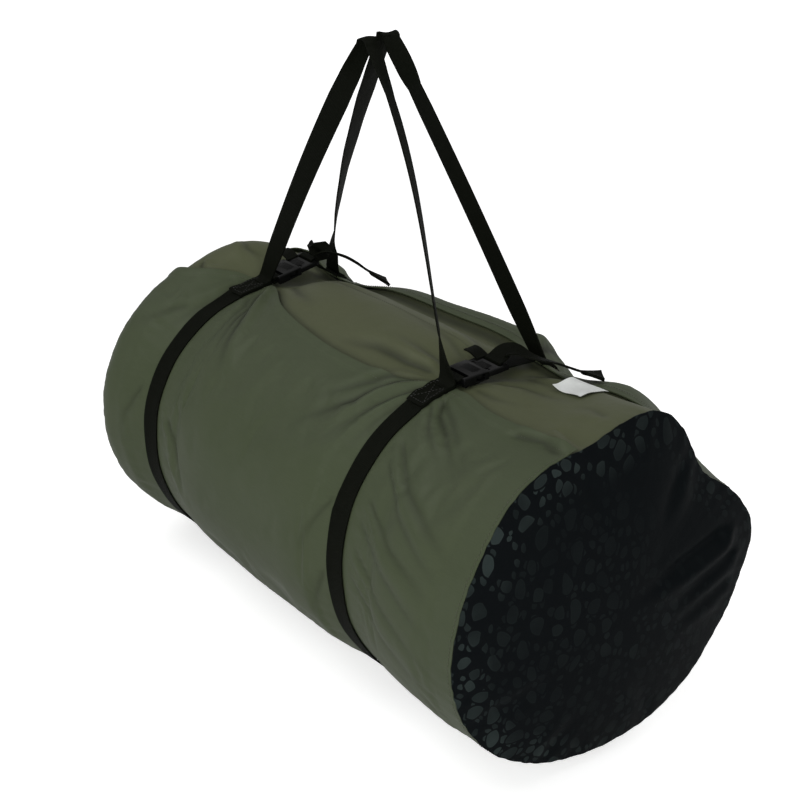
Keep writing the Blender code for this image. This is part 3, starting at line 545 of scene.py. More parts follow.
# The bag's skin, from the same sections as the solid that it replaces
skin = {
    "backSeamX": -0.366,
    "frontSeamX": 0.430,
    "backWaistX": -0.276,
    "frontWaistX": 0.310,
    "strapX": 0.207,
    "axisZ": 0.186,
    "cloth": 0.0015,
    "gap": 0.0003,
    "mean": 0.195,               # the radius that turns degrees into metres of cloth
    # x, near side, far side, near crown, far crown, below the axis, then the opening's edges in degrees
    "sections": (
        (-0.366, 0.132, 0.132, 0.130, 0.128, 0.133, -24.0, 28.0),
        (-0.331, 0.194, 0.184, 0.188, 0.184, 0.173, -24.0, 28.0),
        (-0.276, 0.199, 0.202, 0.198, 0.203, 0.183, -20.0, 27.0),
        (-0.207, 0.186, 0.188, 0.178, 0.178, 0.1815, -4.0, 24.5),
        (-0.100, 0.194, 0.203, 0.194, 0.222, 0.191, -17.0, 28.0),
        (0.0, 0.195, 0.206, 0.197, 0.236, 0.192, -22.0, 28.0),
        (0.100, 0.196, 0.220, 0.197, 0.240, 0.191, -22.0, 28.0),
        (0.152, 0.193, 0.222, 0.195, 0.232, 0.188, -19.0, 26.5),
        (0.207, 0.184, 0.191, 0.190, 0.192, 0.1815, -11.0, 23.5),
        (0.310, 0.194, 0.210, 0.198, 0.232, 0.186, -15.5, 28.0),
        (0.430, 0.203, 0.199, 0.208, 0.209, 0.170, -14.0, 28.0),
    ),
    "lean": 0.013,
    "leanAngle": -60.0,
    "leanReach": 0.070,
    "crownBlend": (20.0, 42.0),
    # where the buckles' pull lifts the skin by the far junctions: x, angle, lift
    "junctionForms": ((-0.207, 25.0, 0.009), (0.207, 25.0, 0.015)),
    "junctionReach": 0.050,
    "junctionSpread": 10.0,
    # the front rim's swellings and hollows: angle, lift and spread
    "rimForms": (
        (-35.0, 0.006, 14.0),
        (-10.0, -0.004, 8.0),
        (15.0, 0.016, 13.0),
        (47.0, -0.023, 14.0),
        (81.0, 0.015, 11.0),
        (120.0, -0.007, 16.0),
    ),
    "flapTuck": 0.003,
    "flapTuckAngle": 7.0,
    "shoulderTuck": 1.6,
    "flapBulge": 0.012,
    "flapPinch": 0.0055,
    "flapPinchReach": 0.052,
}
sectionPlaces = np.array([section[0] for section in skin["sections"]])
sectionSizes = np.array([section[1:] for section in skin["sections"]])


def ease(share):
    share = np.clip(share, 0.0, 1.0)
    return share * share * (3.0 - 2.0 * share)


def hump(distance, reach):
    return np.exp(-((distance / reach) ** 2))


def spread(start, end, count):
    return list(np.linspace(start, end, count + 1))


def sectionAt(x):
    # The section sizes at each x, on smooth curves through the sections
    x = np.clip(np.asarray(x, float), sectionPlaces[0], sectionPlaces[-1])
    after = np.clip(np.searchsorted(sectionPlaces, x), 1, len(sectionPlaces) - 1)
    before, beyond = np.maximum(after - 2, 0), np.minimum(after + 1, len(sectionPlaces) - 1)
    start, end = sectionPlaces[after - 1], sectionPlaces[after]
    length = (end - start)[..., None]
    share = ((x - start) / (end - start))[..., None]
    first, last = sectionSizes[after - 1], sectionSizes[after]
    startSlope = (last - sectionSizes[before]) / (end - sectionPlaces[before])[..., None]
    endSlope = (sectionSizes[beyond] - first) / (sectionPlaces[beyond] - start)[..., None]
    return (
        (2 * share**3 - 3 * share**2 + 1) * first
        + (share**3 - 2 * share**2 + share) * length * startSlope
        + (3 * share**2 - 2 * share**3) * last
        + (share**3 - share**2) * length * endSlope
    )


def nearEdge(x):
    return sectionAt(x)[..., 5]


def farEdge(x):
    return sectionAt(x)[..., 6]


def edgeAt(x, row):
    return float(nearEdge(x) if row == "near" else farEdge(x))


def signedAngle(angle):
    return (np.asarray(angle, float) + 180.0) % 360.0 - 180.0


def fromStraps(x):
    return np.minimum(np.abs(x - skin["strapX"]), np.abs(x + skin["strapX"]))


def formLift(x, signed):
    # The front rim's forms, and the lift beside the far junctions
    rim = sum(height * hump(signed - angle, reach) for angle, height, reach in skin["rimForms"])
    rim = rim * ease((x - skin["frontWaistX"]) / (skin["frontSeamX"] - skin["frontWaistX"]))
    return rim + sum(
        height * hump(x - place, skin["junctionReach"]) * hump(signed - angle, skin["junctionSpread"])
        for place, angle, height in skin["junctionForms"]
    )


def bagPoints(x, angle, lift=0.0):
    # Points of the bare skin, lift outside it. Angle 0 is the top, and +Y is 90
    x, angle = np.broadcast_arrays(np.asarray(x, float), np.asarray(angle, float))
    near, far, crownNear, crownFar, below = np.moveaxis(sectionAt(x), -1, 0)[:5]
    turn = np.radians(angle)
    across, up = np.sin(turn), np.cos(turn)
    signed = signedAngle(angle)
    blendStart, blendEnd = skin["crownBlend"]
    crown = crownNear + (crownFar - crownNear) * ease((signed - blendStart) / (blendEnd - blendStart))
    outwards = lift + formLift(x, signed)
    side = np.where(across > 0.0, far, near) + outwards
    height = skin["axisZ"] + (np.where(up > 0.0, crown, below) + outwards) * up
    towards = np.maximum(0.0, np.cos(np.radians(angle - skin["leanAngle"]))) ** 2
    reach = hump(x - skin["strapX"], skin["leanReach"]) + hump(x + skin["strapX"], skin["leanReach"])
    shifted = x - skin["lean"] * towards * reach
    return np.stack([shifted, side * across, np.maximum(height, 0.0)], axis=-1)


def travelled(points):
    # The way along a line of points, up to each
    return np.concatenate([[0.0], np.cumsum(np.linalg.norm(np.diff(points, axis=0), axis=1))])


def fromSegment(s, t, start, end):
    # How far along a segment each point lies, its distance from there, and its side
    way = np.subtract(end, start)
    length = np.linalg.norm(way)
    way = way / length
    along = np.clip((s - start[0]) * way[0] + (t - start[1]) * way[1], 0.0, length)
    offS, offT = s - start[0] - along * way[0], t - start[1] - along * way[1]
    return along, np.hypot(offS, offT), np.sign(way[0] * offT - way[1] * offS)


def readFolds(rows):
    folds = []
    for path, depth, width, *shape in rows:
        places = zip(path[::2], path[1::2])
        points = [(x / 1000, math.radians(degrees) * skin["mean"]) for x, degrees in places]
        folds.append((np.array(points), depth / 10000, width / 10000, *shape))
    return folds


# Folds that the straps pull in the cloth. A path of X in mm and degrees in turn, the fold's depth and
# width in tenths of a mm, how much wider it grows, the share of its length that it fades over at its
# end, and its ridge's side
bagFolds = readFolds((
    ((-184, -8, -155, -20, -137, -30, -125, -38, -110, -46, -85, -56), 80, 32, 2.2, 0.75, 1),
    ((-186, -11, -160, -21, -155, -27, -140, -38, -128, -50), 50, 34, 1.4, 0.8, 1),
    ((-184, -16, -170, -21, -162, -32, -154, -46), 24, 36, 1.2, 0.8, -1),
    ((-226, -10, -212, -17, -222, -27, -232, -38), 34, 42, 1.4, 0.8, -1),
    ((-224, -14, -218, -24, -232, -38, -245, -52), 24, 50, 1.4, 0.8, -1),
    ((192, -12, 160, -20, 143, -26, 130, -34, 110, -40, 85, -46, 52, -56), 66, 34, 2.0, 0.7, 1),
    ((178, -15, 145, -20, 125, -26, 105, -32, 83, -38, 52, -46), 40, 36, 1.6, 0.8, -1),
    ((190, -18, 170, -29, 153, -39, 136, -47, 110, -58), 40, 36, 1.6, 0.8, 1),
    ((194, -24, 182, -38, 168, -54), 22, 40, 1.4, 0.8, -1),
    ((226, -17, 245, -24, 275, -29, 313, -37, 350, -43), 44, 34, 2.0, 0.8, -1),
    ((226, -22, 250, -30, 288, -37, 325, -45), 30, 36, 1.8, 0.8, -1),
    ((228, -18, 262, -23, 305, -31, 355, -40), 26, 40, 1.6, 0.8, 1),
    ((235, -38, 285, -50, 340, -57, 418, -65), 28, 40, 1.6, 0.6, -1),
    ((236, -46, 290, -58, 350, -66, 420, -73), 20, 38, 1.4, 0.6, 1),
    ((240, -60, 300, -69, 360, -74, 410, -79), 24, 38, 1.4, 0.6, -1),
    ((238, -68, 300, -78, 360, -84, 422, -90), 22, 36, 1.4, 0.6, 1),
    ((238, -77, 290, -87, 350, -94, 420, -101), 22, 36, 1.4, 0.6, -1),
    ((238, -88, 300, -99, 360, -106, 420, -112), 20, 38, 1.4, 0.6, 1),
    ((-172, -76, -150, -84, -135, -92, -118, -104), 30, 45, 1.6, 0.8, -1),
    ((-172, -92, -155, -100, -138, -114), 22, 45, 1.6, 0.8, 1),
    ((-236, -70, -258, -82, -280, -98), 20, 50, 1.4, 0.8, 1),
    ((-240, -34, -275, -46, -318, -54), 20, 60, 1.4, 0.8, -1),
    ((186, -66, 160, -78, 130, -92), 18, 50, 1.4, 0.8, 1),
    ((186, -92, 165, -104, 140, -120), 22, 50, 1.4, 0.8, -1),
    ((352, -19, 390, -17, 430, -19), 40, 44, 0.6, 0.3, 1),
    ((376, -8, 405, -10, 430, -12), 32, 40, 0.6, 0.3, -1),
    ((-188, 31, -160, 40, -120, 52, -80, 66), 50, 45, 1.6, 0.8, -1),
    ((-188, 36, -170, 48, -145, 64), 36, 45, 1.6, 0.8, 1),
    ((-224, 34, -250, 46, -280, 60), 34, 50, 1.4, 0.8, 1),
    ((188, 31, 166, 36, 150, 48, 130, 66), 60, 50, 1.4, 0.8, 1),
    ((190, 38, 180, 54, 165, 72), 36, 50, 1.4, 0.8, -1),
    ((224, 31, 250, 36, 290, 42, 340, 52), 44, 45, 1.4, 0.8, -1),
    ((224, 40, 252, 54, 285, 72), 34, 50, 1.4, 0.8, 1),
    ((240, 84, 300, 96, 360, 104), 30, 60, 1.4, 0.8, 1),
    ((238, 108, 290, 116, 350, 124), 26, 60, 1.4, 0.8, -1),
    ((-172, 84, -140, 98, -110, 118), 30, 60, 1.4, 0.8, -1),
    ((182, 96, 150, 112, 120, 132), 28, 60, 1.4, 0.8, 1),
    ((-240, 90, -270, 108, -300, 124), 26, 60, 1.4, 0.8, -1),
    ((-236, 62, -262, 74, -300, 84), 26, 60, 1.4, 0.8, 1),
))
foldShape = {
    "startFade": 0.08,
    "startShare": 0.35,
    "valleyDepth": 0.75,
    "valleyPower": 1.3,
    "ridgeHeight": 0.85,
    "ridgeAway": 1.8,            # in widths of the fold, as is the next
    "ridgeWidth": 1.5,
    # the reach and depth of the painted shade in a fold's valley
    "shadeWidth": 0.62,
    "shadeDepth": 0.006,         # a fold this deep is as dark as folds get
}


def foldParts(x, angle, folds):
    # How far the folds lift the skin: a valley with a ridge. And how much painted shade each point takes,
    # from how deep it lies in a fold
    s, t = np.broadcast_arrays(np.asarray(x, float), np.radians(signedAngle(angle)) * skin["mean"])
    lift, paintedFoldShade = np.zeros(s.shape), np.zeros(s.shape)
    for points, depth, width, grow, fade, ridgeSide in folds:
        done = travelled(points)
        nearest, share, side = np.full(s.shape, 9.0), np.zeros(s.shape), np.ones(s.shape)
        for index in range(len(points) - 1):
            along, distance, turned = fromSegment(s, t, points[index], points[index + 1])
            closer = distance < nearest
            nearest = np.where(closer, distance, nearest)
            share = np.where(closer, (done[index] + along) / done[-1], share)
            side = np.where(closer, turned, side)
        reach = width * (1.0 + grow * share)
        start = ease(share / foldShape["startFade"] + foldShape["startShare"])
        strength = ease((1.0 - share) / fade) * start
        valley = np.exp(-np.abs(nearest / reach) ** foldShape["valleyPower"])
        away = nearest * side * ridgeSide - foldShape["ridgeAway"] * reach
        ridge = hump(away, foldShape["ridgeWidth"] * reach)
        lift += strength * depth * (foldShape["ridgeHeight"] * ridge - foldShape["valleyDepth"] * valley)
        shade = hump(nearest, foldShape["shadeWidth"] * reach) * min(depth / foldShape["shadeDepth"], 1.0)
        paintedFoldShade = np.maximum(paintedFoldShade, strength * shade)
    return lift, paintedFoldShade


ripples = {
    "strap": 0.0005,             # the height of the puckers beside a strap
    "strapEdge": 0.018,
    "strapRise": 0.006,
    "strapReach": 0.020,
    "seams": (("frontSeamX", 0.016, 0.0004), ("backSeamX", 0.024, 0.0008)),
    "slow": 0.0009,
}


def rippleLift(x, angle):
    # Small puckers beside the straps and at the end seams, and a slow unevenness all over
    t = np.radians(signedAngle(angle))
    lift = np.zeros(np.broadcast(x, t).shape)
    for side in (-1, 1):
        beside = np.abs(x - side * skin["strapX"]) - ripples["strapEdge"]
        fade = np.exp(-np.maximum(beside, 0.0) / ripples["strapReach"]) * (beside > 0.0)
        wave = np.sin(t * 41.0 + side * 1.3 + 3.0 * np.sin(t * 5.0)) + 0.6 * np.sin(t * 67.0 + 2.1)
        lift += ripples["strap"] * fade * ease(beside / ripples["strapRise"]) * wave
    for seam, reach, height in ripples["seams"]:
        fade = np.exp(-np.abs(x - skin[seam]) / reach)
        wave = np.sin(t * 53.0 + 2.0 * np.sin(t * 7.0)) + 0.5 * np.sin(t * 89.0 + 0.7)
        lift += height * fade * wave
    slow = np.sin(x * 23.0 + 1.7 * np.sin(t * 2.0 + 0.4)) * np.sin(t * 5.0 + x * 9.0 + 0.8)
    slow += 0.6 * np.sin(x * 41.0 - t * 7.0 + 2.2) * np.sin(t * 9.0 - x * 13.0)
    return lift + ripples["slow"] * slow


def skinPoints(x, angle, lift=0.0):
    # Points lift outside the folded skin, which everything that lies on it follows
    return bagPoints(x, angle, lift + foldParts(x, angle, bagFolds)[0] + rippleLift(x, angle))


print("skin described")


# Sheets: a grid from bmesh whose corners go where a function puts them
def makeSheet(
        name, lines, rows, where, material, thickness=0.0, offset=-1.0, close=False, uvPlace=None,
        marks=None):
    # where(u, v) takes arrays of line and row values, and gives points. marks(u, v) gives named values
    bm = bmesh.new()
    bmesh.ops.create_grid(bm, x_segments=len(lines) - 1, y_segments=len(rows) - 1, size=0.5)
    bm.verts.ensure_lookup_table()
    corners = np.array([vert.co[:2] for vert in bm.verts])
    u = np.asarray(lines)[np.rint((corners[:, 0] + 0.5) * (len(lines) - 1)).astype(int)]
    v = np.asarray(rows)[np.rint((corners[:, 1] + 0.5) * (len(rows) - 1)).astype(int)]
    points = where(u, v)
    layer = bm.loops.layers.uv.new("UVMap")
    flat = np.stack(uvPlace(u, v) if uvPlace else (u, v), axis=-1)
    for label, values in (marks(u, v) if marks else {}).items():
        mark = bm.verts.layers.float.new(label)
        for vert, value in zip(bm.verts, values):
            vert[mark] = value
    for vert, point in zip(bm.verts, points):
        vert.co = point
    for face in bm.faces:
        for loop in face.loops:
            loop[layer].uv = flat[loop.vert.index]
    if close:
        bmesh.ops.remove_doubles(bm, verts=bm.verts, dist=0.00001)
    for edge in bm.edges:
        if edge.is_boundary:
            edge.smooth = False
    piece = finishPiece(name, bm, material)
    if thickness:
        thicken(piece, thickness, offset)
    return piece


def thicken(piece, thickness, offset=-1.0):
    wall = piece.modifiers.new("Thickness", "SOLIDIFY")
    wall.thickness = thickness
    wall.offset = offset
    wall.use_even_offset = False


def standFor(piece, body, slot, *replaced):
    # The piece rides on a body and stands for the solids named, which it hides. The slot is not used
    if body is not None:
        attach(piece, body)
    if replaced:
        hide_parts(*replaced)
    return piece


def clothUv(x, angle):
    return x, np.radians(angle) * skin["mean"]


panel = {
    "lineStep": 0.0048,
    "strapLineStep": 0.0026,
    "strapReach": 0.072,
    "hem": 0.012,
    "hemLift": 0.0012,
    "hemEase": 0.0015,
    "strapClear": 0.020,
    "edgeRoll": 0.0020,          # how far the near edge stands up off the flap
    "edgeRollReach": 0.010,
    # degrees from the near edge, and the step in metres as far as there
    "rowSteps": ((-75.0, 0.0025), (-125.0, 0.0044), (-285.0, 0.0100), (-340.0, 0.0050)),
}


def panelLines():
    # The panel's X values, closer together beside the straps
    lines = [skin["backSeamX"]]
    while lines[-1] < skin["frontSeamX"] - 0.001:
        x = lines[-1]
        close = fromStraps(x) < panel["strapReach"]
        lines.append(min(x + (panel["strapLineStep"] if close else panel["lineStep"]), skin["frontSeamX"]))
    return lines


def panelShares():
    # Shares of the way round from the near edge, closer together where the panel faces up and near
    width = 360.0 + float(nearEdge(0.0)) - float(farEdge(0.0))
    shares, done = [np.linspace(0.0, 0.012, 6)[:-1]], 0.012
    for degrees, step in panel["rowSteps"]:
        until = min((-degrees + float(nearEdge(0.0))) / width, 0.988)
        count = max(round((until - done) * math.radians(width) * skin["mean"] / step), 1)
        shares.append(np.linspace(done, until, count + 1)[:-1])
        done = until
    shares.append(np.linspace(done, 1.0, 8))
    return [1.0 - share for share in np.concatenate(shares)][::-1]


def panelAngle(x, share):
    return farEdge(x) + (360.0 + nearEdge(x) - farEdge(x)) * share


def panelWhere(x, share):
    angle = panelAngle(x, share)
    width = np.radians(360.0 + nearEdge(x) - farEdge(x)) * skin["mean"]
    fromEdge = np.minimum(share, 1.0 - share) * width
    lift = panel["hemLift"] * ease((panel["hem"] - fromEdge) / panel["hemEase"])
    onFlap = ease((fromStraps(x) - panel["strapClear"]) / panel["strapClear"])
    lift = lift + panel["edgeRoll"] * onFlap * hump((1.0 - share) * width, panel["edgeRollReach"])
    return skinPoints(x, angle, lift)


bagPanel = makeSheet(
    "bagPanelCloth", panelLines(), panelShares(), panelWhere, materials["canvas"],
    uvPlace=lambda x, share: clothUv(x, panelAngle(x, share)),
    # the valley mark carries the painted shade in the folds
    marks=lambda x, share: {"valley": foldParts(x, panelAngle(x, share), bagFolds)[1]},
)


# A pressure pushes the cloth out between the seams and straps, which hold it, in place of the imported roll
drape = {
    "frames": 14,
    "pressure": 1.6,
    "spare": -0.012,             # how much longer the cloth is than its place
    "cap": 0.0035,
    "held": 0.020,               # from a seam, a strap or an edge, where the cloth doesn't move
    "loose": 0.035,
    "ground": 150.0,             # degrees from the top, beyond which the cloth lies still
    "groundBlend": 25.0,
    "quality": 4,
    "pinning": 0.6,
    "pinned": 0.98,
    "bending": 0.6,
}


def looseShare(x, angle):
    # 0 where the cloth is sewn or lies on the ground, rising to 1 away from there
    signed = signedAngle(angle)
    fromSeam = np.minimum(x - skin["backSeamX"], skin["frontSeamX"] - x)
    fromEdge = np.where(signed < 0.0, nearEdge(x) - signed, signed - farEdge(x))
    fromEdge = np.radians(np.abs(fromEdge)) * skin["mean"]
    distance = np.minimum(np.minimum(fromStraps(x), fromSeam), fromEdge)
    grounded = ease((drape["ground"] - np.abs(signed)) / drape["groundBlend"])
    return ease((distance - drape["held"]) / drape["loose"]) * grounded


def simulateCloth(piece, loose):
    group = piece.vertex_groups.new(name="held")
    for index, share in enumerate(loose):
        group.add([index], 1.0 - float(share) * drape["pinned"], "REPLACE")
    before = np.array([vert.co[:] for vert in piece.data.vertices])
    cloth = piece.modifiers.new("Cloth", "CLOTH")
    settings = cloth.settings
    settings.quality = drape["quality"]
    settings.vertex_group_mass = "held"
    settings.pin_stiffness = drape["pinning"]
    settings.shrink_min = drape["spare"]
    settings.use_pressure = True
    settings.uniform_pressure_force = drape["pressure"]
    settings.effector_weights.gravity = 0.0
    settings.bending_stiffness = drape["bending"]
    cloth.point_cache.frame_end = drape["frames"]
    for step in range(1, drape["frames"] + 1):
        scene.frame_set(step)
    graph = bpy.context.evaluated_depsgraph_get()
    moved = piece.evaluated_get(graph).to_mesh()
    after = np.array([vert.co[:] for vert in moved.vertices])
    piece.evaluated_get(graph).to_mesh_clear()
    piece.modifiers.remove(cloth)
    piece.vertex_groups.clear()
    scene.frame_set(1)
    shift = (after - before) * loose[:, None]
    length = np.maximum(np.linalg.norm(shift, axis=1), 0.000001)
    shift *= (drape["cap"] * np.tanh(length / drape["cap"]) / length)[:, None]
    for vert, point in zip(piece.data.vertices, before + shift):
        vert.co = point
    print("cloth settled, by", round(1000 * float(np.abs(shift).max()), 1), "mm at most")


flatPlaces = np.zeros((len(bagPanel.data.vertices), 2))
uvs = bagPanel.data.uv_layers[0].uv
for loop in bagPanel.data.loops:
    flatPlaces[loop.vertex_index] = uvs[loop.index].vector
simulateCloth(bagPanel, looseShare(flatPlaces[:, 0], np.degrees(flatPlaces[:, 1] / skin["mean"])))
standFor(bagPanel, "bag", "canvas", "bag_panel")
thicken(bagPanel, skin["cloth"])
print("bag panel made,", len(bagPanel.data.vertices), "corners")


# Top flap, tucked under both edges of the panel
flapFolds = readFolds((
    ((-300, -16, -280, -20, -260, -19, -240, -13, -222, -8), 50, 42, 0.8, 0.5, 1),
    ((-300, 2, -275, 0, -248, 3), 30, 50, 0.8, 0.5, -1),
    ((-168, 8, -122, 9, -50, 8, 10, 9), 16, 40, 0.8, 0.7, 1),
    ((-165, 0, -120, -6, -60, -10), 34, 55, 1.2, 0.7, -1),
    ((-170, 16, -120, 20, -60, 22), 30, 50, 1.0, 0.7, 1),
    ((170, -9, 135, -12, 78, -13, 0, -19), 46, 55, 1.2, 0.7, -1),
    ((165, 4, 120, 6, 60, 7, 0, 8), 22, 60, 1.0, 0.8, -1),
    ((165, 12, 110, 16, 50, 18), 26, 55, 1.0, 0.8, 1),
    ((168, -4, 120, -5, 60, -6), 22, 55, 1.0, 0.8, 1),
    ((232, -6, 270, -7, 310, -5), 26, 46, 1.2, 0.8, 1),
    ((235, 2, 262, 6, 300, 6, 350, 8), 30, 50, 1.2, 0.8, -1),
    ((240, 14, 290, 12, 330, 10), 24, 50, 1.2, 0.8, 1),
    ((400, 4, 372, 6, 335, 5), 20, 50, 1.2, 0.8, 1),
))
flap = {
    "lineStep": 0.0036,
    "rows": 60,
    "tuckRows": 5,
    "edgeTrim": 0.003,
    "farDip": 0.0035,
    "dipShare": 0.93,
    "dipWidth": 0.09,
    "skew": 2.0,                 # how much farther over the flap's crown lies in front
    "skewReach": 0.055,
    "foldFade": 0.10,
}


def flapLift(x, share):
    inside = (share > 0.0) & (share < 1.0)
    farther = 1.0 + flap["skew"] * ease((x - skin["strapX"]) / flap["skewReach"])
    rise = np.where(inside, np.sin(np.pi * np.clip(share, 0.0, 1.0) ** farther) ** 2, 0.0)
    reach = skin["flapPinchReach"]
    pinch = hump(x - skin["strapX"], reach) + hump(x + skin["strapX"], reach)
    pinch = np.minimum(pinch, 1.0)
    backFade = ease((x - skin["backSeamX"]) / (skin["backWaistX"] - skin["backSeamX"]))
    frontFade = ease((skin["frontSeamX"] - x) / (skin["frontSeamX"] - skin["frontWaistX"]))
    depth = skin["flapTuck"] * (1.0 + skin["shoulderTuck"] * (1.0 - backFade))
    bulge = skin["flapBulge"] * backFade * frontFade * (1.0 - pinch)
    under = flap["farDip"] * backFade * frontFade * hump(share - flap["dipShare"], flap["dipWidth"])
    return -depth + rise * (bulge - skin["flapPinch"] * pinch) - under


def flapAngle(x, share):
    return nearEdge(x) + (farEdge(x) - nearEdge(x)) * share


def openShare(share):
    return ease(share / flap["foldFade"]) * ease((1.0 - share) / flap["foldFade"])


def flapSurface(x, share, lift=0.0):
    # Points on the flap, or lift over it, for shares of the way from its near edge to its far one
    angle = flapAngle(x, share)
    folds = foldParts(x, angle, flapFolds)[0]
    return skinPoints(x, angle, lift + flapLift(x, share) + openShare(share) * folds)


def flapShare(x, place):
    # Place runs from -1 to 0 under the near edge, on to 1 at the far one, and to 2 under that
    tuck = skin["flapTuckAngle"] / (farEdge(x) - nearEdge(x))
    return np.where(place < 0.0, place * tuck, np.where(place > 1.0, 1.0 + (place - 1.0) * tuck, place))


def flapMarks(x, place):
    # Painted shade for the flap: darker in its folds' valleys, and a painted shadow along both edges, where
    # the panel's edges lie over it
    share = flapShare(x, place)
    paintedFoldShade = foldParts(x, flapAngle(x, share), flapFolds)[1] * openShare(share)
    shade = np.maximum(0.75 * hump(share - 0.98, 0.05), 0.45 * hump(share - 0.01, 0.04))
    return {"valley": np.maximum(paintedFoldShade, shade)}


flapLines = spread(
    skin["backSeamX"] + 2 * flap["edgeTrim"], skin["frontSeamX"] - flap["edgeTrim"],
    round((skin["frontSeamX"] - skin["backSeamX"]) / flap["lineStep"]),
)
flapRows = (spread(-1.0, 0.0, flap["tuckRows"])[:-1] + spread(0.0, 1.0, flap["rows"])
            + spread(1.0, 2.0, flap["tuckRows"])[1:])
topFlap = makeSheet(
    "topFlapCloth", flapLines, flapRows, lambda x, place: flapSurface(x, flapShare(x, place)),
    materials["flap"], uvPlace=lambda x, place: clothUv(x, flapAngle(x, place)), marks=flapMarks,
)
standFor(topFlap, "bag", "canvas", "top_flap")
thicken(topFlap, skin["cloth"])
print("top flap made")


# End panels: domed discs of cloth, printed in front
endPanels = (
    {"node": "front_end_panel", "seamX": 0.430, "outward": 1, "bulge": 0.024, "name": "frontEndCloth"},
    {"node": "back_end_panel", "seamX": -0.366, "outward": -1, "bulge": 0.016, "name": "backEndCloth"},
)
endFolds = (
    # y, z of the two ends, depth and width
    ((0.150, 0.232), (0.010, 0.205), 0.0070, 0.0100),
    ((0.170, 0.200), (0.060, 0.172), 0.0040, 0.0090),
    ((0.165, 0.165), (0.070, 0.150), 0.0030, 0.0090),
    ((-0.050, 0.372), (-0.010, 0.280), 0.0030, 0.0110),
    ((-0.165, 0.120), (-0.070, 0.150), 0.0024, 0.0120),
    ((0.070, 0.040), (0.020, 0.110), 0.0026, 0.0120),
    ((-0.090, 0.030), (-0.040, 0.090), 0.0030, 0.0110),
    ((0.090, 0.330), (0.050, 0.270), 0.0036, 0.0110),
)
endPanel = {
    "rings": 60,
    "spokes": 240,
    "poleShare": 0.012,
    "poleReach": 0.05,
    "middleZ": 0.195,
    "domeReach": 0.22,
    "pucker": 0.0011,
    "puckerReach": 0.05,
    "foldFade": 0.7,
    "ridgeHeight": 0.7,
    "ridgeAway": 1.5,            # in widths of the fold, as is the next
    "ridgeWidth": 1.3,
}


def endLift(y, z):
    lift = np.zeros(y.shape)
    for start, end, depth, width in endFolds:
        along, distance, side = fromSegment(y, z, start, end)
        fade = ease((1.0 - along / math.dist(start, end)) / endPanel["foldFade"])
        ridge = hump(distance * side - endPanel["ridgeAway"] * width, endPanel["ridgeWidth"] * width)
        lift += depth * fade * (endPanel["ridgeHeight"] * ridge - hump(distance, width))
    return lift


def faceOutwards(bm, outwardness):
    bmesh.ops.recalc_face_normals(bm, faces=bm.faces)
    if sum(outwardness(face) for face in bm.faces) < 0.0:
        bmesh.ops.reverse_faces(bm, faces=bm.faces)


def makeEndPanel(settings):
    seamX, outward = settings["seamX"], settings["outward"]
    start = seamX + outward * (skin["cloth"] + skin["gap"])

    def where(share, angle):
        edge = skinPoints(np.full(angle.shape, seamX), -angle)
        y, z = edge[:, 1] * share, endPanel["middleZ"] + (edge[:, 2] - endPanel["middleZ"]) * share
        turn, inside = np.radians(angle), (1.0 - share) / endPanel["puckerReach"]
        fine = np.sin(turn * 37.0 + 5.0 * np.sin(turn * 3.0))
        fine = fine + 0.6 * np.sin(turn * 61.0 + 4.0 * np.sin(turn * 4.0))
        fine = endPanel["pucker"] * fine * np.exp(-inside) * inside
        folds = ease((1.0 - share) / endPanel["domeReach"]) * endLift(y, z)
        x = start + outward * (settings["bulge"] * (1.0 - share * share) + folds + fine)
        return np.stack([x, y, z], axis=-1)

    def uvPlace(share, angle):
        turn = np.radians(-angle)
        return share * skin["mean"] * np.sin(turn), share * skin["mean"] * np.cos(turn)

    def closePole(bm):
        middle, flat = Vector((0.0, 0.0, endPanel["middleZ"])), Vector((0.0, 1.0, 1.0))
        ring = [edge for edge in bm.edges if edge.is_boundary
                and ((edge.verts[0].co - middle) * flat).length < endPanel["poleReach"]]
        made = bmesh.ops.holes_fill(bm, edges=ring, sides=0)
        for face in bmesh.ops.poke(bm, faces=made["faces"])["faces"]:
            face.smooth = True
        faceOutwards(bm, lambda face: face.normal.x * face.calc_area() * outward)

    disc = makeSheet(
        settings["name"], spread(endPanel["poleShare"], 1.0, endPanel["rings"]),
        spread(-360.0, 0.0, endPanel["spokes"]), where, materials["print"], close=True, uvPlace=uvPlace,
        marks=lambda share, angle: {"rimShare": share},
    )
    reworkPiece(disc, closePole)
    standFor(disc, "bag", "print", settings["node"])
    thicken(disc, skin["cloth"])


for settings in endPanels:
    makeEndPanel(settings)
print("end panels made")


# Webbing: ribbons along a path
webbing = {
    "width": 0.0275,
    "thickness": 0.0018,
    "across": 8,
    "anchorAngle": 14.0,
    "anchorRows": 16,
    "girthStep": 1.0,
    "bite": 0.0004,              # how far the edges of a strap under load press down
    "crown": 0.0003,
}


def webbingUv(across, angle):
    return np.radians(angle) * skin["mean"], across


def layWebbing(name, node, side, angles, lift):
    # Webbing that lies on the skin at a strap's place, over the angles given
    x = side * skin["strapX"]
    half = webbing["width"] / 2
    strip = makeSheet(
        name, spread(-half, half, webbing["across"]), angles,
        lambda across, angle: skinPoints(x + across, angle, lift - webbing["bite"] * (across / half) ** 4),
        materials["webbing"], webbing["thickness"], 1.0, uvPlace=webbingUv,
    )
    return standFor(strip, "bag", "webbing", node)


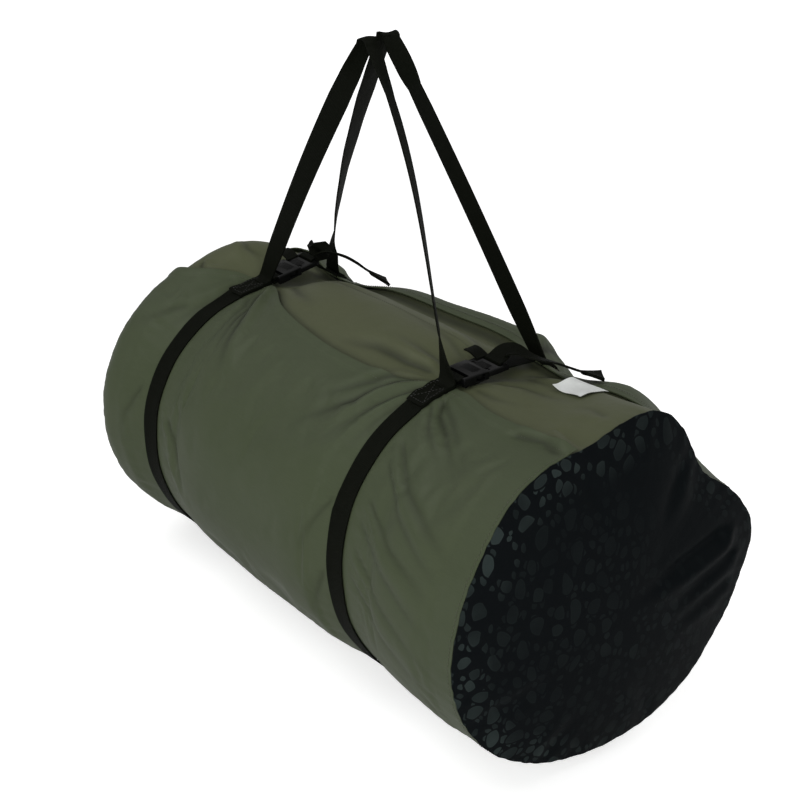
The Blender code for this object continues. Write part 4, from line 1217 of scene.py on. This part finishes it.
for side, word in ((-1, "rear"), (1, "front")):
    x = side * skin["strapX"]
    near, far = edgeAt(x, "near"), edgeAt(x, "far")
    girth = spread(far, 360.0 + near, round((360.0 + near - far) / webbing["girthStep"]))
    layWebbing(word + "GirthWebbing", word + "_girth_strap", side, girth, skin["gap"] + webbing["bite"])
    lift = webbing["thickness"] + 2 * skin["gap"] + webbing["bite"]
    reach, rows = webbing["anchorAngle"], webbing["anchorRows"]
    for row, angles in (("near", spread(near - reach, near, rows)), ("far", spread(far, far + reach, rows))):
        layWebbing(f"{row}{word.capitalize()}SewnEnd", f"{row}_handle_{word}_end", side, angles, lift)
print("girth straps and sewn ends made")


def smoothPath(points, steps):
    # Points along a smooth curve through the given ones
    points = [np.asarray(point, float) for point in points]
    path = []
    for index in range(len(points) - 1):
        before, start = points[max(index - 1, 0)], points[index]
        end, beyond = points[index + 1], points[min(index + 2, len(points) - 1)]
        for step in range(steps):
            share = step / steps
            path.append(
                0.5 * (2 * start + (end - before) * share
                       + (2 * before - 5 * start + 4 * end - beyond) * share**2
                       + (3 * start - before - 3 * end + beyond) * share**3)
            )
    path.append(points[-1])
    return np.array(path)


def unit(vectors):
    return vectors / np.linalg.norm(vectors, axis=1)[:, None]


def squareTo(path, ways, share=1.0):
    # The directions given, turned square to the path, or only for a share of that
    along = unit(np.gradient(path, axis=0))
    return unit(ways - along * ((ways * along).sum(1) * share)[:, None])


def squareWays(path, turns, share=1.0):
    # The width's direction along a path: turned by degrees from +X about Z, and square to the path
    angle = np.radians(turns)
    return squareTo(path, np.stack([np.cos(angle), np.sin(angle), np.zeros(len(angle))], axis=-1), share)


def normalsOf(path, ways):
    return unit(np.cross(np.gradient(path, axis=0), ways))


def makeRibbon(name, path, ways, widths=None, crowns=None):
    # A strip along path, with its width along ways. A crown bends its section into a shallow trough
    path, count = np.asarray(path), len(path)
    widths = np.full(count, webbing["width"]) if widths is None else widths
    crowns = np.full(count, webbing["crown"]) if crowns is None else crowns
    done, normals = travelled(path), normalsOf(path, ways)

    def where(index, share):
        index = index.astype(int)
        lift = crowns[index] * (1.0 - np.abs(share) ** 1.6)
        across = ways[index] * (share * widths[index] / 2)[:, None]
        return path[index] + across + normals[index] * lift[:, None]

    return makeSheet(
        name, list(range(count)), spread(-1.0, 1.0, webbing["across"]), where, materials["webbing"],
        webbing["thickness"], 0.0,
        uvPlace=lambda index, share: (done[index.astype(int)], share * webbing["width"] / 2),
    )


# Handles: the same webbing, up from each junction to the apex
handle = {
    "rise": 0.542,
    "foldRadius": 0.0085,
    "hooks": {"near": (0.025, -0.0155, -0.0190), "far": (0.032, 0.0052, -0.0130)},
    "foldTurns": (-45.0, 0.0, 45.0),
    "hingeGap": 0.0045,
    "legSteps": 14,
    "fine": 6,
    "footLength": 0.012,
    "bunchedWidth": 0.72,
    "bunchReach": 0.78,
    "bunchCrown": 0.0016,
    # how far each leg bows outwards, and whether nearer its apex
    "bows": {
        ("near", -1): (0.008, 1.0), ("near", 1): (0.020, 1.5),
        ("far", -1): (0.019, 0.85), ("far", 1): (0.004, 1.0),
    },
    # the webbing's turn in degrees at shares of each leg's length
    "turns": {
        ("near", -1): ((0.0, 0.0), (0.12, 4.0), (0.85, 18.0), (1.0, 72.0)),
        ("near", 1): ((0.0, 180.0), (0.12, 144.0), (0.88, 134.0), (1.0, 98.0)),
        ("far", -1): (
            (0.0, 0.0), (0.05, -6.0), (0.14, -34.0), (0.36, -47.5), (0.62, -63.0), (0.85, -76.0),
            (1.0, -98.0)),
        ("far", 1): ((0.0, -180.0), (0.12, -172.0), (0.5, -174.0), (0.86, -176.0), (1.0, -108.0)),
    },
    "bendStart": 0.008,          # heights over the lower junction
    "bendEnd": 0.040,
}


def junctionAt(side, row, lift=0.0):
    x = side * skin["strapX"]
    return bagPoints(x, edgeAt(x, row), lift)


def turnAt(turns, share):
    for (start, before), (end, after) in zip(turns, turns[1:]):
        if share <= end:
            return before + (after - before) * float(ease((share - start) / (end - start)))
    return turns[-1][1]


def handleLeg(row, side, hook):
    # A leg's points, turns, widths and crowns, from its base to the shoulder of the apex
    base = junctionAt(side, row, 2 * (skin["gap"] + webbing["thickness"]) + handle["hingeGap"])
    shoulder = hook + np.array([side * handle["foldRadius"], 0.0, 0.0])
    bow, skew = handle["bows"][row, side]
    leg = []
    for share in spread(0.0, 1.0, handle["legSteps"]):
        point = base + (shoulder - base) * share
        point[0] += side * bow * math.sin(math.pi * share**skew)
        bunch = float(ease((share - handle["bunchReach"]) / (1.0 - handle["bunchReach"])))
        width = webbing["width"] * (1.0 + (handle["bunchedWidth"] - 1.0) * bunch)
        leg.append((point, turnAt(handle["turns"][row, side], share), width, handle["bunchCrown"] * bunch))
    return leg


def handleFoot(side, row):
    # The webbing's way from flat on the strap, towards the first point of the leg
    x = side * skin["strapX"]
    away = -1.0 if row == "near" else 1.0
    lift = 2.5 * webbing["thickness"] + 3 * skin["gap"]
    degrees = away * math.degrees(handle["footLength"] / skin["mean"])
    turn = handle["turns"][row, side][0][1]
    places = [skinPoints(x, edgeAt(x, row) + degrees * share, lift) for share in (1.0, 0.5)]
    return [(place, turn, webbing["width"], webbing["crown"]) for place in places]


def makeHandle(name, node, row):
    hook = np.array(handle["hooks"][row]) + np.array([0.0, 0.0, skin["axisZ"] + handle["rise"]])
    rear, front = handleLeg(row, -1, hook), handleLeg(row, 1, hook)
    arc = []
    for degrees in handle["foldTurns"]:
        tilt = math.radians(degrees)
        point = hook + np.array([math.sin(tilt), 0.0, math.cos(tilt)]) * handle["foldRadius"]
        turn = rear[-1][1] + (front[-1][1] - rear[-1][1]) * (degrees + 90.0) / 180.0
        arc.append((point, turn, rear[-1][2], handle["bunchCrown"]))
    stations = handleFoot(-1, row) + rear + arc + front[::-1] + handleFoot(1, row)[::-1]
    fine = handle["fine"]
    path = smoothPath([station[0] for station in stations], fine)
    place = np.arange(len(path)) / fine
    turns, widths, crowns = (
        np.interp(place, np.arange(len(stations)), [station[column] for station in stations])
        for column in (1, 2, 3)
    )
    fromEnd = np.minimum(place, place[-1] - place)
    ways = squareWays(path, turns, ease((fromEnd - 2.0) / 3.0))
    ribbon = makeRibbon(name, path, ways, widths, crowns)
    standFor(ribbon, None, "webbing", node)
    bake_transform(ribbon)


for row in ("near", "far"):
    makeHandle(row + "HandleWebbing", row + "_handle", row)
print("handles made")


# Buckles: the sockets, plugs and prongs with rounded edges, ribs and webbing
buckle = {
    "width": 0.041,
    "socketLength": 0.034,
    "socketHeight": 0.0105,
    "barLength": 0.005,
    "barHeight": 0.0040,
    "plugLength": 0.027,
    "plugHeight": 0.0056,
    "running": 0.0005,
    "tabLength": 0.0075,
    "tabClearance": 0.0030,
    "rise": 0.0062,
    "tilts": {-1: 12.0, 1: 5.0},
    "round": 0.0007,
    "ribs": 5,
    "ribPitch": 0.0023,
    "footAngle": 2.2,
    "footRise": 0.0038,
    "tailRise": 0.0010,
    "tailSteps": 9,
    "tailCrown": 0.0010,
    "hemSteps": 9,
    "ribWidth": 0.0010,
    "ribHeight": 0.0005,
    "ribSink": 0.0003,
    "ribTaper": 0.06,
    "ribRound": 0.0002,
    "prongRound": 0.0004,
    "tailFreed": 2,              # a point on each tail's way
    "fold": 0.001,
}
tails = {
    # each loose tail's length, and its way from the plug in shares of that, with the webbing's width
    -1: (0.135, (
        ((0.095, 0.009, 0.076), (1.0, 0.0, 0.0)),
        ((0.264, -0.043, 0.118), (0.98, -0.15, 0.1)),
        ((0.353, -0.007, 0.129), (0.8, -0.48, 0.34)),
        ((0.415, 0.112, 0.08), (0.742, -0.533, 0.406)),
        ((0.461, 0.209, 0.015), (0.742, -0.533, 0.406)),
        ((0.524, 0.339, -0.093), (0.76, -0.56, 0.32)),
        ((0.59, 0.491, -0.198), (0.8, -0.58, 0.14)),
    )),
    1: (0.130, (
        ((0.024, 0.105, 0.05), (1.0, 0.0, 0.0)),
        ((0.289, 0.178, 0.05), (0.98, -0.18, 0.1)),
        ((0.385, 0.355, -0.014), (0.8, -0.5, 0.33)),
        ((0.486, 0.526, -0.091), (0.742, -0.533, 0.38)),
        ((0.59, 0.68, -0.129), (0.76, -0.6, 0.04)),
    )),
}
stub = {
    "length": 0.026,
    "width": 0.016,
    "inset": 0.006,
    "places": {-1: 0.044, 1: 0.052},
    "lift": 0.0034,
    "drift": 0.002,
    "arch": 0.0035,
    "archTurn": 2.4,
}


def buckleFrame(side):
    x = side * skin["strapX"]
    start = Vector(bagPoints(x, edgeAt(x, "near"), buckle["rise"]))
    start.y += buckle["tabLength"]
    return Matrix.Translation(start) @ Matrix.Rotation(math.radians(buckle["tilts"][side]), 4, "X")


def inFrame(frame_, places):
    return [np.array(frame_ @ Vector(place)) for place in places]


def refineNode(name, node, rounded):
    # A copy of a solid with its flat faces whole again and its edges rounded
    bm = bmesh.new()
    bm.from_mesh(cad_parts[node].data)
    bmesh.ops.remove_doubles(bm, verts=bm.verts, dist=0.00002)
    bmesh.ops.dissolve_limit(bm, angle_limit=math.radians(1.5), verts=bm.verts, edges=bm.edges)
    roundEdges(bm, bentEdges(bm, 25.0), rounded)
    bmesh.ops.triangulate(bm, faces=[face for face in bm.faces if len(face.verts) > 4])
    return finishPiece(name, bm, materials["buckle"], 38.0)


def addBlock(bm, axes, low, high, rounded):
    # A rib with rounded edges, in a buckle's own axes
    made = bmesh.ops.create_cube(bm, size=1.0)["verts"]
    size = [b - a for a, b in zip(low, high)]
    middle = [(a + b) / 2 for a, b in zip(low, high)]
    place = axes @ Matrix.Translation(middle) @ Matrix.Diagonal((*size, 1.0))
    bmesh.ops.transform(bm, verts=made, matrix=place)
    roundEdges(bm, list({edge for vert in made for edge in vert.link_edges}), rounded)


def makeRibs(name, axes, body, halfWidth, height, start):
    # Raised finger ribs across the top of a buckle's half, shorter away from the middle one
    bm = bmesh.new()
    for index in range(buckle["ribs"]):
        y = start + index * buckle["ribPitch"]
        reach = halfWidth * (1.0 - buckle["ribTaper"] * abs(index - buckle["ribs"] // 2))
        low = (-reach, y, height - buckle["ribSink"])
        high = (reach, y + buckle["ribWidth"], height + buckle["ribHeight"])
        addBlock(bm, axes, low, high, buckle["ribRound"])
    standFor(finishPiece(name, bm, materials["buckle"], 50.0), body, "buckle")


def makeTab(name, node, axes):
    # The folded webbing that holds the socket to the near junction
    under = buckle["barHeight"] / 2 + skin["gap"] + webbing["thickness"] / 2
    through = buckle["barLength"] + skin["gap"] + webbing["thickness"] / 2
    sewnEnd, corner = buckle["tabClearance"] - buckle["tabLength"], through - buckle["fold"]
    places = [(0.0, sewnEnd, -under), (0.0, corner, -under)]
    for degrees in (-60.0, -20.0, 20.0, 60.0):
        turn = math.radians(degrees)
        places.append((0.0, corner + buckle["fold"] * math.cos(turn), under * math.sin(turn)))
    places += [(0.0, corner, under), (0.0, sewnEnd, under)]
    path = smoothPath(inFrame(axes, places), 3)
    standFor(makeRibbon(name, path, squareWays(path, np.zeros(len(path)))), "bag", "webbing", node)


def makeAdjuster(word, side, axes):
    # The strap from the far junction round the plug's bar, and the loose tail that goes on from there
    end = buckle["socketLength"] + skin["gap"] + buckle["plugLength"] + buckle["running"]
    level = buckle["plugHeight"] / 2 + skin["gap"] + webbing["thickness"] / 2
    through = end - buckle["running"] - buckle["barLength"] - skin["gap"] - webbing["thickness"] / 2
    x = side * skin["strapX"]
    foot = bagPoints(x, edgeAt(x, "far") - buckle["footAngle"], buckle["footRise"])
    foot[0] = axes.translation.x
    corner = through + buckle["fold"]
    loop = ((0.0, end, -level), (0.0, corner, -level), (0.0, through, buckle["fold"] - level),
            (0.0, through, level - buckle["fold"]), (0.0, corner, level),
            (0.0, end, level + buckle["tailRise"]))
    places = inFrame(axes, loop)
    path = smoothPath([foot, (foot + places[0]) / 2] + places, 4)
    strap = makeRibbon(word + "AdjusterStrap", path, squareWays(path, np.zeros(len(path))))
    standFor(strap, None, "webbing", word + "_adjuster")
    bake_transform(strap)

    length, route = tails[side]
    across = np.array([(1.0, 0.0, 0.0)] + [turned for _way, turned in route])
    ways = [(0.0, 0.0, 0.0)] + [way for way, _turned in route]
    path = smoothPath([places[-1] + np.array(way) * length for way in ways], buckle["tailSteps"])
    shares = np.arange(len(path)) / buckle["tailSteps"]
    across = [np.interp(shares, np.arange(len(across)), column) for column in across.T]
    ways = squareTo(path, np.stack(across, axis=-1))
    crowns = np.full(len(path), buckle["tailCrown"])
    tail = makeRibbon(word + "LooseTail", path, ways, crowns=crowns)
    standFor(tail, None, "webbing", word + "_adjuster")
    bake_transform(tail)
    hemLift = webbing["thickness"] * np.linspace(1.0, 1.15, buckle["hemSteps"])[:, None]
    rows = slice(-buckle["hemSteps"], None)
    last = path[rows] + normalsOf(path, ways)[rows] * hemLift
    hem = makeRibbon(word + "TailHem", last, ways[rows], crowns=crowns[rows])
    standFor(hem, "bag", "webbing", word + "_adjuster")


def makeStub(word, side, axes):
    # A short stub of narrow webbing at the plug
    start = np.array([-buckle["width"] / 2 + stub["inset"], stub["places"][side], stub["lift"]])
    places = []
    for share in spread(0.0, 1.0, 4):
        rise = stub["arch"] * math.sin(stub["archTurn"] * share)
        places.append(start + np.array([-stub["length"] * share, stub["drift"] * share, rise]))
    path = smoothPath(inFrame(axes, places), 4)
    ways = np.tile(np.array(axes.to_3x3() @ Vector((0.0, 1.0, 0.0))), (len(path), 1))
    piece = makeRibbon(word + "PlugStub", path, ways, np.full(len(path), stub["width"]))
    standFor(piece, word + "_plug", "webbing")


for side, word in ((-1, "rear"), (1, "front")):
    axes = buckleFrame(side)
    moulded = [
        ("SocketShell", "buckle_socket", "bag", buckle["round"]),
        ("PlugPlate", "buckle_plug", word + "_plug", buckle["round"]),
    ]
    for end in ("back", "front"):
        body = f"{word}_{end}_prong"
        moulded.append((end.capitalize() + "Prong", f"buckle_{end}_prong", body, buckle["prongRound"]))
    for name, node, body, rounded in moulded:
        piece = refineNode(word + name, f"{word}_{node}", rounded)
        standFor(piece, body, "buckle", f"{word}_{node}")
    makeRibs(word + "SocketRibs", axes, "bag", 0.0125, buckle["socketHeight"] / 2, 0.0190)
    makeRibs(word + "PlugRibs", axes, word + "_plug", 0.0100, buckle["plugHeight"] / 2, 0.0365)
    makeTab(word + "SocketTab", word + "_socket_tab", axes)
    makeAdjuster(word, side, axes)
    makeStub(word, side, axes)
print("buckles made")


# Care label: white satin tape, bare, sewn in at its far edge and curling at its corner
label = {
    "frontX": 0.333,
    "width": 0.045,
    "near": 10.6,
    "far": 21.0,
    "lift": 0.0014,
    "stand": 0.0012,             # how much higher its far edge lies
    "curl": 0.0132,
    "curlStart": 0.45,
    "nearWave": 0.0012,
    "wave": 0.0009,
    "thickness": 0.0005,
}


def labelWhere(x, angle):
    along = (label["frontX"] - x) / label["width"]
    across = (angle - label["near"]) / (label["far"] - label["near"])
    share = (angle - nearEdge(x)) / (farEdge(x) - nearEdge(x))
    curl = label["curl"] * np.maximum(along - label["curlStart"], 0.0) ** 2 * (1.3 - across)
    uneven = label["nearWave"] * np.sin(along * 5.0 + 1.0) * (1.0 - across)
    uneven = uneven + label["wave"] * np.sin(across * 7.0 + along * 3.0)
    return flapSurface(x, share, label["lift"] + label["stand"] * across + curl + uneven)


careLabel = makeSheet(
    "careLabelTape", spread(label["frontX"] - label["width"], label["frontX"], 28),
    spread(label["near"], label["far"], 22), labelWhere, materials["label"], uvPlace=clothUv,
)
standFor(careLabel, "bag", "label", "care_label")
thicken(careLabel, label["thickness"], 1.0)
print("label made")


# Stitches: small lozenges of thread along the seams
stitch = {
    "length": 0.0030,
    "pitch": 0.0040,
    "radius": 0.00042,
    "inset": 0.0030,
    "fromEdge": 0.010,
    "seamLift": 0.0016,
    "endLift": 0.0002,
    "runs": ((-0.350, -0.226), (-0.188, 0.188), (0.226, 0.422)),
    "flapReach": 0.165,
    "flapAngle": 8.0,
    "flapLift": 0.0003,
    "boxStart": 2.0,             # degrees from the opening's edge
    "boxEnd": 12.5,
    "frontInset": 0.005,
    "backInset": 0.006,
}


def makeStitches(name, lines, material, slot):
    # lines are lists of points on a surface. Each stitch lies along its line
    bm = bmesh.new()
    for line in lines:
        line = np.asarray(line)
        done = travelled(line)
        for place in np.arange(stitch["pitch"] / 2, done[-1], stitch["pitch"]):
            point = [np.interp(place, done, line[:, axis]) for axis in range(3)]
            index = min(int(np.searchsorted(done, place)), len(line) - 1)
            way = Vector(line[index] - line[index - 1])
            turn = way.to_track_quat("X", "Z").to_matrix().to_4x4()
            size = Matrix.Diagonal((stitch["length"] / 2, stitch["radius"], stitch["radius"], 1.0))
            bmesh.ops.create_icosphere(
                bm, subdivisions=1, radius=1.0, matrix=Matrix.Translation(point) @ turn @ size)
    standFor(finishPiece(name, bm, materials[material]), "bag", slot)


def boxStitches(side, row):
    # The box on a handle's sewn end, with its cross
    x = side * skin["strapX"]
    away = -1.0 if row == "near" else 1.0
    half = webbing["width"] / 2 - stitch["inset"]
    start, end = stitch["boxStart"], stitch["boxEnd"]
    corners = ((-half, start), (half, start), (half, end), (-half, end), (-half, start), (half, end))
    lift = 2 * (webbing["thickness"] + skin["gap"]) + skin["gap"] + webbing["bite"]
    made = []
    for line in (corners, ((half, start), (-half, end))):
        points = []
        for (fromX, fromAngle), (toX, toAngle) in zip(line, line[1:]):
            share = np.linspace(0.0, 1.0, 14)
            across, degrees = fromX + (toX - fromX) * share, fromAngle + (toAngle - fromAngle) * share
            points.append(skinPoints(x + across, edgeAt(x, row) + away * degrees, lift))
        made.append(np.concatenate(points))
    return made


def seamStitches():
    # Along both edges of the opening between the straps, and round both end seams
    lines = []
    fromEdge = math.degrees(stitch["fromEdge"] / skin["mean"])
    for edge, inwards in ((nearEdge, -fromEdge), (farEdge, fromEdge)):
        for start, end in stitch["runs"]:
            x = np.linspace(start, end, 200)
            lines.append(skinPoints(x, edge(x) + inwards, stitch["seamLift"]))
    for x in (skin["frontSeamX"] - stitch["frontInset"], skin["backSeamX"] + stitch["backInset"]):
        angles = np.linspace(edgeAt(x, "far") + 3.0, 357.0 + edgeAt(x, "near"), 400)
        lines.append(skinPoints(np.full(400, x), angles, stitch["endLift"]))
    return lines


makeStitches("panelStitches", seamStitches(), "oliveThread", "canvas")
flapX = np.linspace(-stitch["flapReach"], stitch["flapReach"], 200)
flapShares = (stitch["flapAngle"] - nearEdge(flapX)) / (farEdge(flapX) - nearEdge(flapX))
makeStitches("flapStitches", [flapSurface(flapX, flapShares, stitch["flapLift"])], "oliveThread", "canvas")
boxes = [line for side in (-1, 1) for row in ("near", "far") for line in boxStitches(side, row)]
makeStitches("boxStitches", boxes, "blackThread", "webbing")
print("stitches made")


# The rolled mat inside: two foam halves, two fabrics and two bands
roll = {
    "frontX": 0.405,
    "matWidth": 0.710,
    "axisZ": 0.182,
    "core": 0.012,
    "folded": 0.044,
    "steps": 72,                 # in one turn
    "turns": 3.2,
    "taperTurns": 0.75,
    "tipShare": 0.28,
    "gap": 0.0006,
    "cover": 0.0012,
    "layerGap": 0.0004,
    "edgeCover": 0.004,
    "bandWidth": 0.038,
    "bandThickness": 0.0015,
    "bandX": 0.170,
    "corner": 0.0022,
    "fabricCorner": 0.0004,
    "bandStep": 0.0145,
}


def rollRadii():
    # The inner and outer radius of the folded mat at each step of the roll
    steps = roll["steps"]
    count = round(roll["turns"] * steps)
    taper = roll["taperTurns"] * steps
    radii = []
    for step in range(count + 1):
        if step < steps:
            inner = roll["core"] + (roll["folded"] + roll["gap"]) * step / steps
        else:
            inner = radii[step - steps][1] + roll["gap"]
        share = min(1.0, roll["tipShare"] + (1.0 - roll["tipShare"]) * (count - step) / taper)
        radii.append((inner, inner + roll["folded"] * share))
    return np.array(radii)


radii = rollRadii()


def rollPoints(x, radius, step):
    turn = 2.0 * np.pi * step / roll["steps"]
    return np.stack([x, radius * np.sin(turn), roll["axisZ"] + radius * np.cos(turn)], axis=-1)


def roundCorners(outline, reach):
    # Two points near each corner of a closed outline of (x, share, distance), in place of it
    places = [np.array(place, float) for place in outline]
    scale = np.array([1.0, roll["folded"], 1.0])
    rounded = []
    for index, place in enumerate(places):
        for other in (places[index - 1], places[(index + 1) % len(places)]):
            length = np.linalg.norm((other - place) * scale)
            rounded.append(place + (other - place) * min(reach / length, 0.4))
    return rounded


def makeRollLayer(name, node, outline, material, slot, reach):
    outline = np.array(roundCorners(outline, reach))
    outline = np.concatenate([outline, outline[:1]])

    def where(column, step):
        column, step = np.rint(column).astype(int), np.rint(step).astype(int)
        inner, outer = radii[step, 0], radii[step, 1]
        x, share, distance = outline[column].T
        return rollPoints(x, inner + (outer - inner) * share + distance, step)

    layer = makeSheet(
        name, list(range(len(outline))), list(range(len(radii))), where, material, close=True,
        uvPlace=lambda column, step: (step * 0.010, outline[np.rint(column).astype(int), 0]),
    )
    reworkPiece(layer, closeEnds)
    layer.data.set_sharp_from_angle(angle=math.radians(55.0))
    return standFor(layer, "bag", slot, node)


def closeEnds(bm):
    bmesh.ops.holes_fill(bm, edges=[edge for edge in bm.edges if edge.is_boundary], sides=0)
    bmesh.ops.recalc_face_normals(bm, faces=bm.faces)


def makeMat():
    # Outlines across the folded mat: X, the share of its thickness, and the distance from there
    front, back = roll["frontX"], roll["frontX"] - roll["matWidth"]
    thin, edge = roll["cover"], back + roll["edgeCover"]
    half, cover = thin / 2 + roll["layerGap"], thin + roll["layerGap"]
    foamBack = edge + roll["layerGap"]

    def strip(low, lowLift, high, highLift):
        return ((foamBack, low, lowLift), (front, low, lowLift),
                (front, high, highLift), (foamBack, high, highLift))

    for word, outline in (("Inner", strip(0, cover, 0.5, -half)), ("Outer", strip(0.5, half, 1, -cover))):
        name, node = f"foam{word}Half", f"foam_{word.lower()}_half"
        foam = makeRollLayer(name, node, outline, materials["foam"], "foam", roll["corner"])
    base = (
        (back, 0, 0), (front, 0, 0), (front, 0, thin), (edge, 0, thin),
        (edge, 1, -thin), (front, 1, -thin), (front, 1, 0), (back, 1, 0),
    )
    for word, outline in (("Upper", strip(0.5, -thin / 2, 0.5, thin / 2)), ("Base", base)):
        name, node = f"mat{word}Fabric", f"mat_{word.lower()}_fabric"
        makeRollLayer(name, node, outline, materials["matCloth"], "mat_fabric", roll["fabricCorner"])


def makeBand(word, x):
    count, steps = len(radii) - 1, roll["steps"]
    indexes = np.array([count] + list(range(count - steps + 1, count)) + [count])
    low = radii[indexes, 1] + buckle["running"]
    half = roll["bandWidth"] / 2

    def where(across, step):
        step = np.rint(step).astype(int)
        return rollPoints(across, low[step], indexes[step])

    band = makeSheet(
        word + "RollBand", spread(x - half, x + half, 6), list(range(len(indexes))), where,
        materials["elastic"], close=True, uvPlace=lambda across, step: (step * roll["bandStep"], across),
    )
    middle = Vector((x, 0.0, roll["axisZ"]))
    reworkPiece(band, lambda bm: faceOutwards(
        bm, lambda face: face.normal.dot(face.calc_center_median() - middle)))
    thicken(band, roll["bandThickness"], 1.0)
    standFor(band, "bag", "elastic", word + "_roll_band")


makeMat()
makeBand("rear", -roll["bandX"])
makeBand("front", roll["bandX"])
print("rolled mat made")


# Valves at the mat's open corners, and their caps
valve = {
    "flangeRadius": 0.0085,
    "flange": 0.0015,
    "neckRadius": 0.0058,
    "neckLength": 0.009,
    "capRadius": 0.0078,
    "capWall": 0.0014,
    "sides": 48,
    "groove": 0.0004,
    "round": 0.0004,
    "capRound": 0.0002,
}


def turnedPiece(name, profile, middle, material, rounded, grooveRadius=None):
    # A profile of (x, radius) spun about an X axis through middle. The grooves are a cap's grip
    bm = bmesh.new()
    verts = [bm.verts.new(middle + Vector((x, 0.0, radius))) for x, radius in profile]
    edges = [bm.edges.new(pair) for pair in zip(verts, verts[1:])]
    bmesh.ops.spin(
        bm, geom=verts + edges, cent=middle, axis=(1.0, 0.0, 0.0), angle=2.0 * math.pi,
        steps=valve["sides"], use_merge=True,
    )
    bmesh.ops.remove_doubles(bm, verts=bm.verts, dist=0.00005)
    bmesh.ops.recalc_face_normals(bm, faces=bm.faces)
    for vert in bm.verts if grooveRadius else ():
        out = vert.co - middle
        out.x = 0.0
        index = round((math.atan2(out.y, out.z) % (2.0 * math.pi)) / (2.0 * math.pi) * valve["sides"])
        if abs(out.length - grooveRadius) < 0.0001 and index % 3 == 0:
            vert.co -= out.normalized() * valve["groove"]
    roundEdges(bm, bentEdges(bm, 50.0), rounded)
    return finishPiece(name, bm, material, 40.0)


def makeValve(word):
    low, high = (Vector(corner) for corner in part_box(word + "_valve_body"))
    middle = (low + high) / 2
    middle.x = low.x
    flange, flangeRadius, neckRadius = valve["flange"], valve["flangeRadius"], valve["neckRadius"]
    neckEnd = flange + valve["neckLength"]
    body = ((0.0, 0.0), (0.0, flangeRadius), (flange, flangeRadius), (flange, neckRadius),
            (neckEnd, neckRadius), (neckEnd, 0.0))
    piece = turnedPiece(word + "ValveBody", body, middle, materials["valveBody"], valve["round"])
    standFor(piece, "bag", "valve_body", word + "_valve_body")
    start, bore = flange + buckle["running"], neckRadius + buckle["running"]
    inner, wall, radius = neckEnd + buckle["running"], valve["capWall"], valve["capRadius"]
    cap = ((start, bore), (start, radius), (inner, radius), (inner + wall, radius - wall),
           (inner + wall, 0.0), (inner, 0.0), (inner, bore), (start, bore))
    piece = turnedPiece(word + "ValveCap", cap, middle, materials["valveCap"], valve["capRound"], radius)
    standFor(piece, word + "_cap", "valve_cap", word + "_valve_cap")


makeValve("inner")
makeValve("outer")
print("valves made")
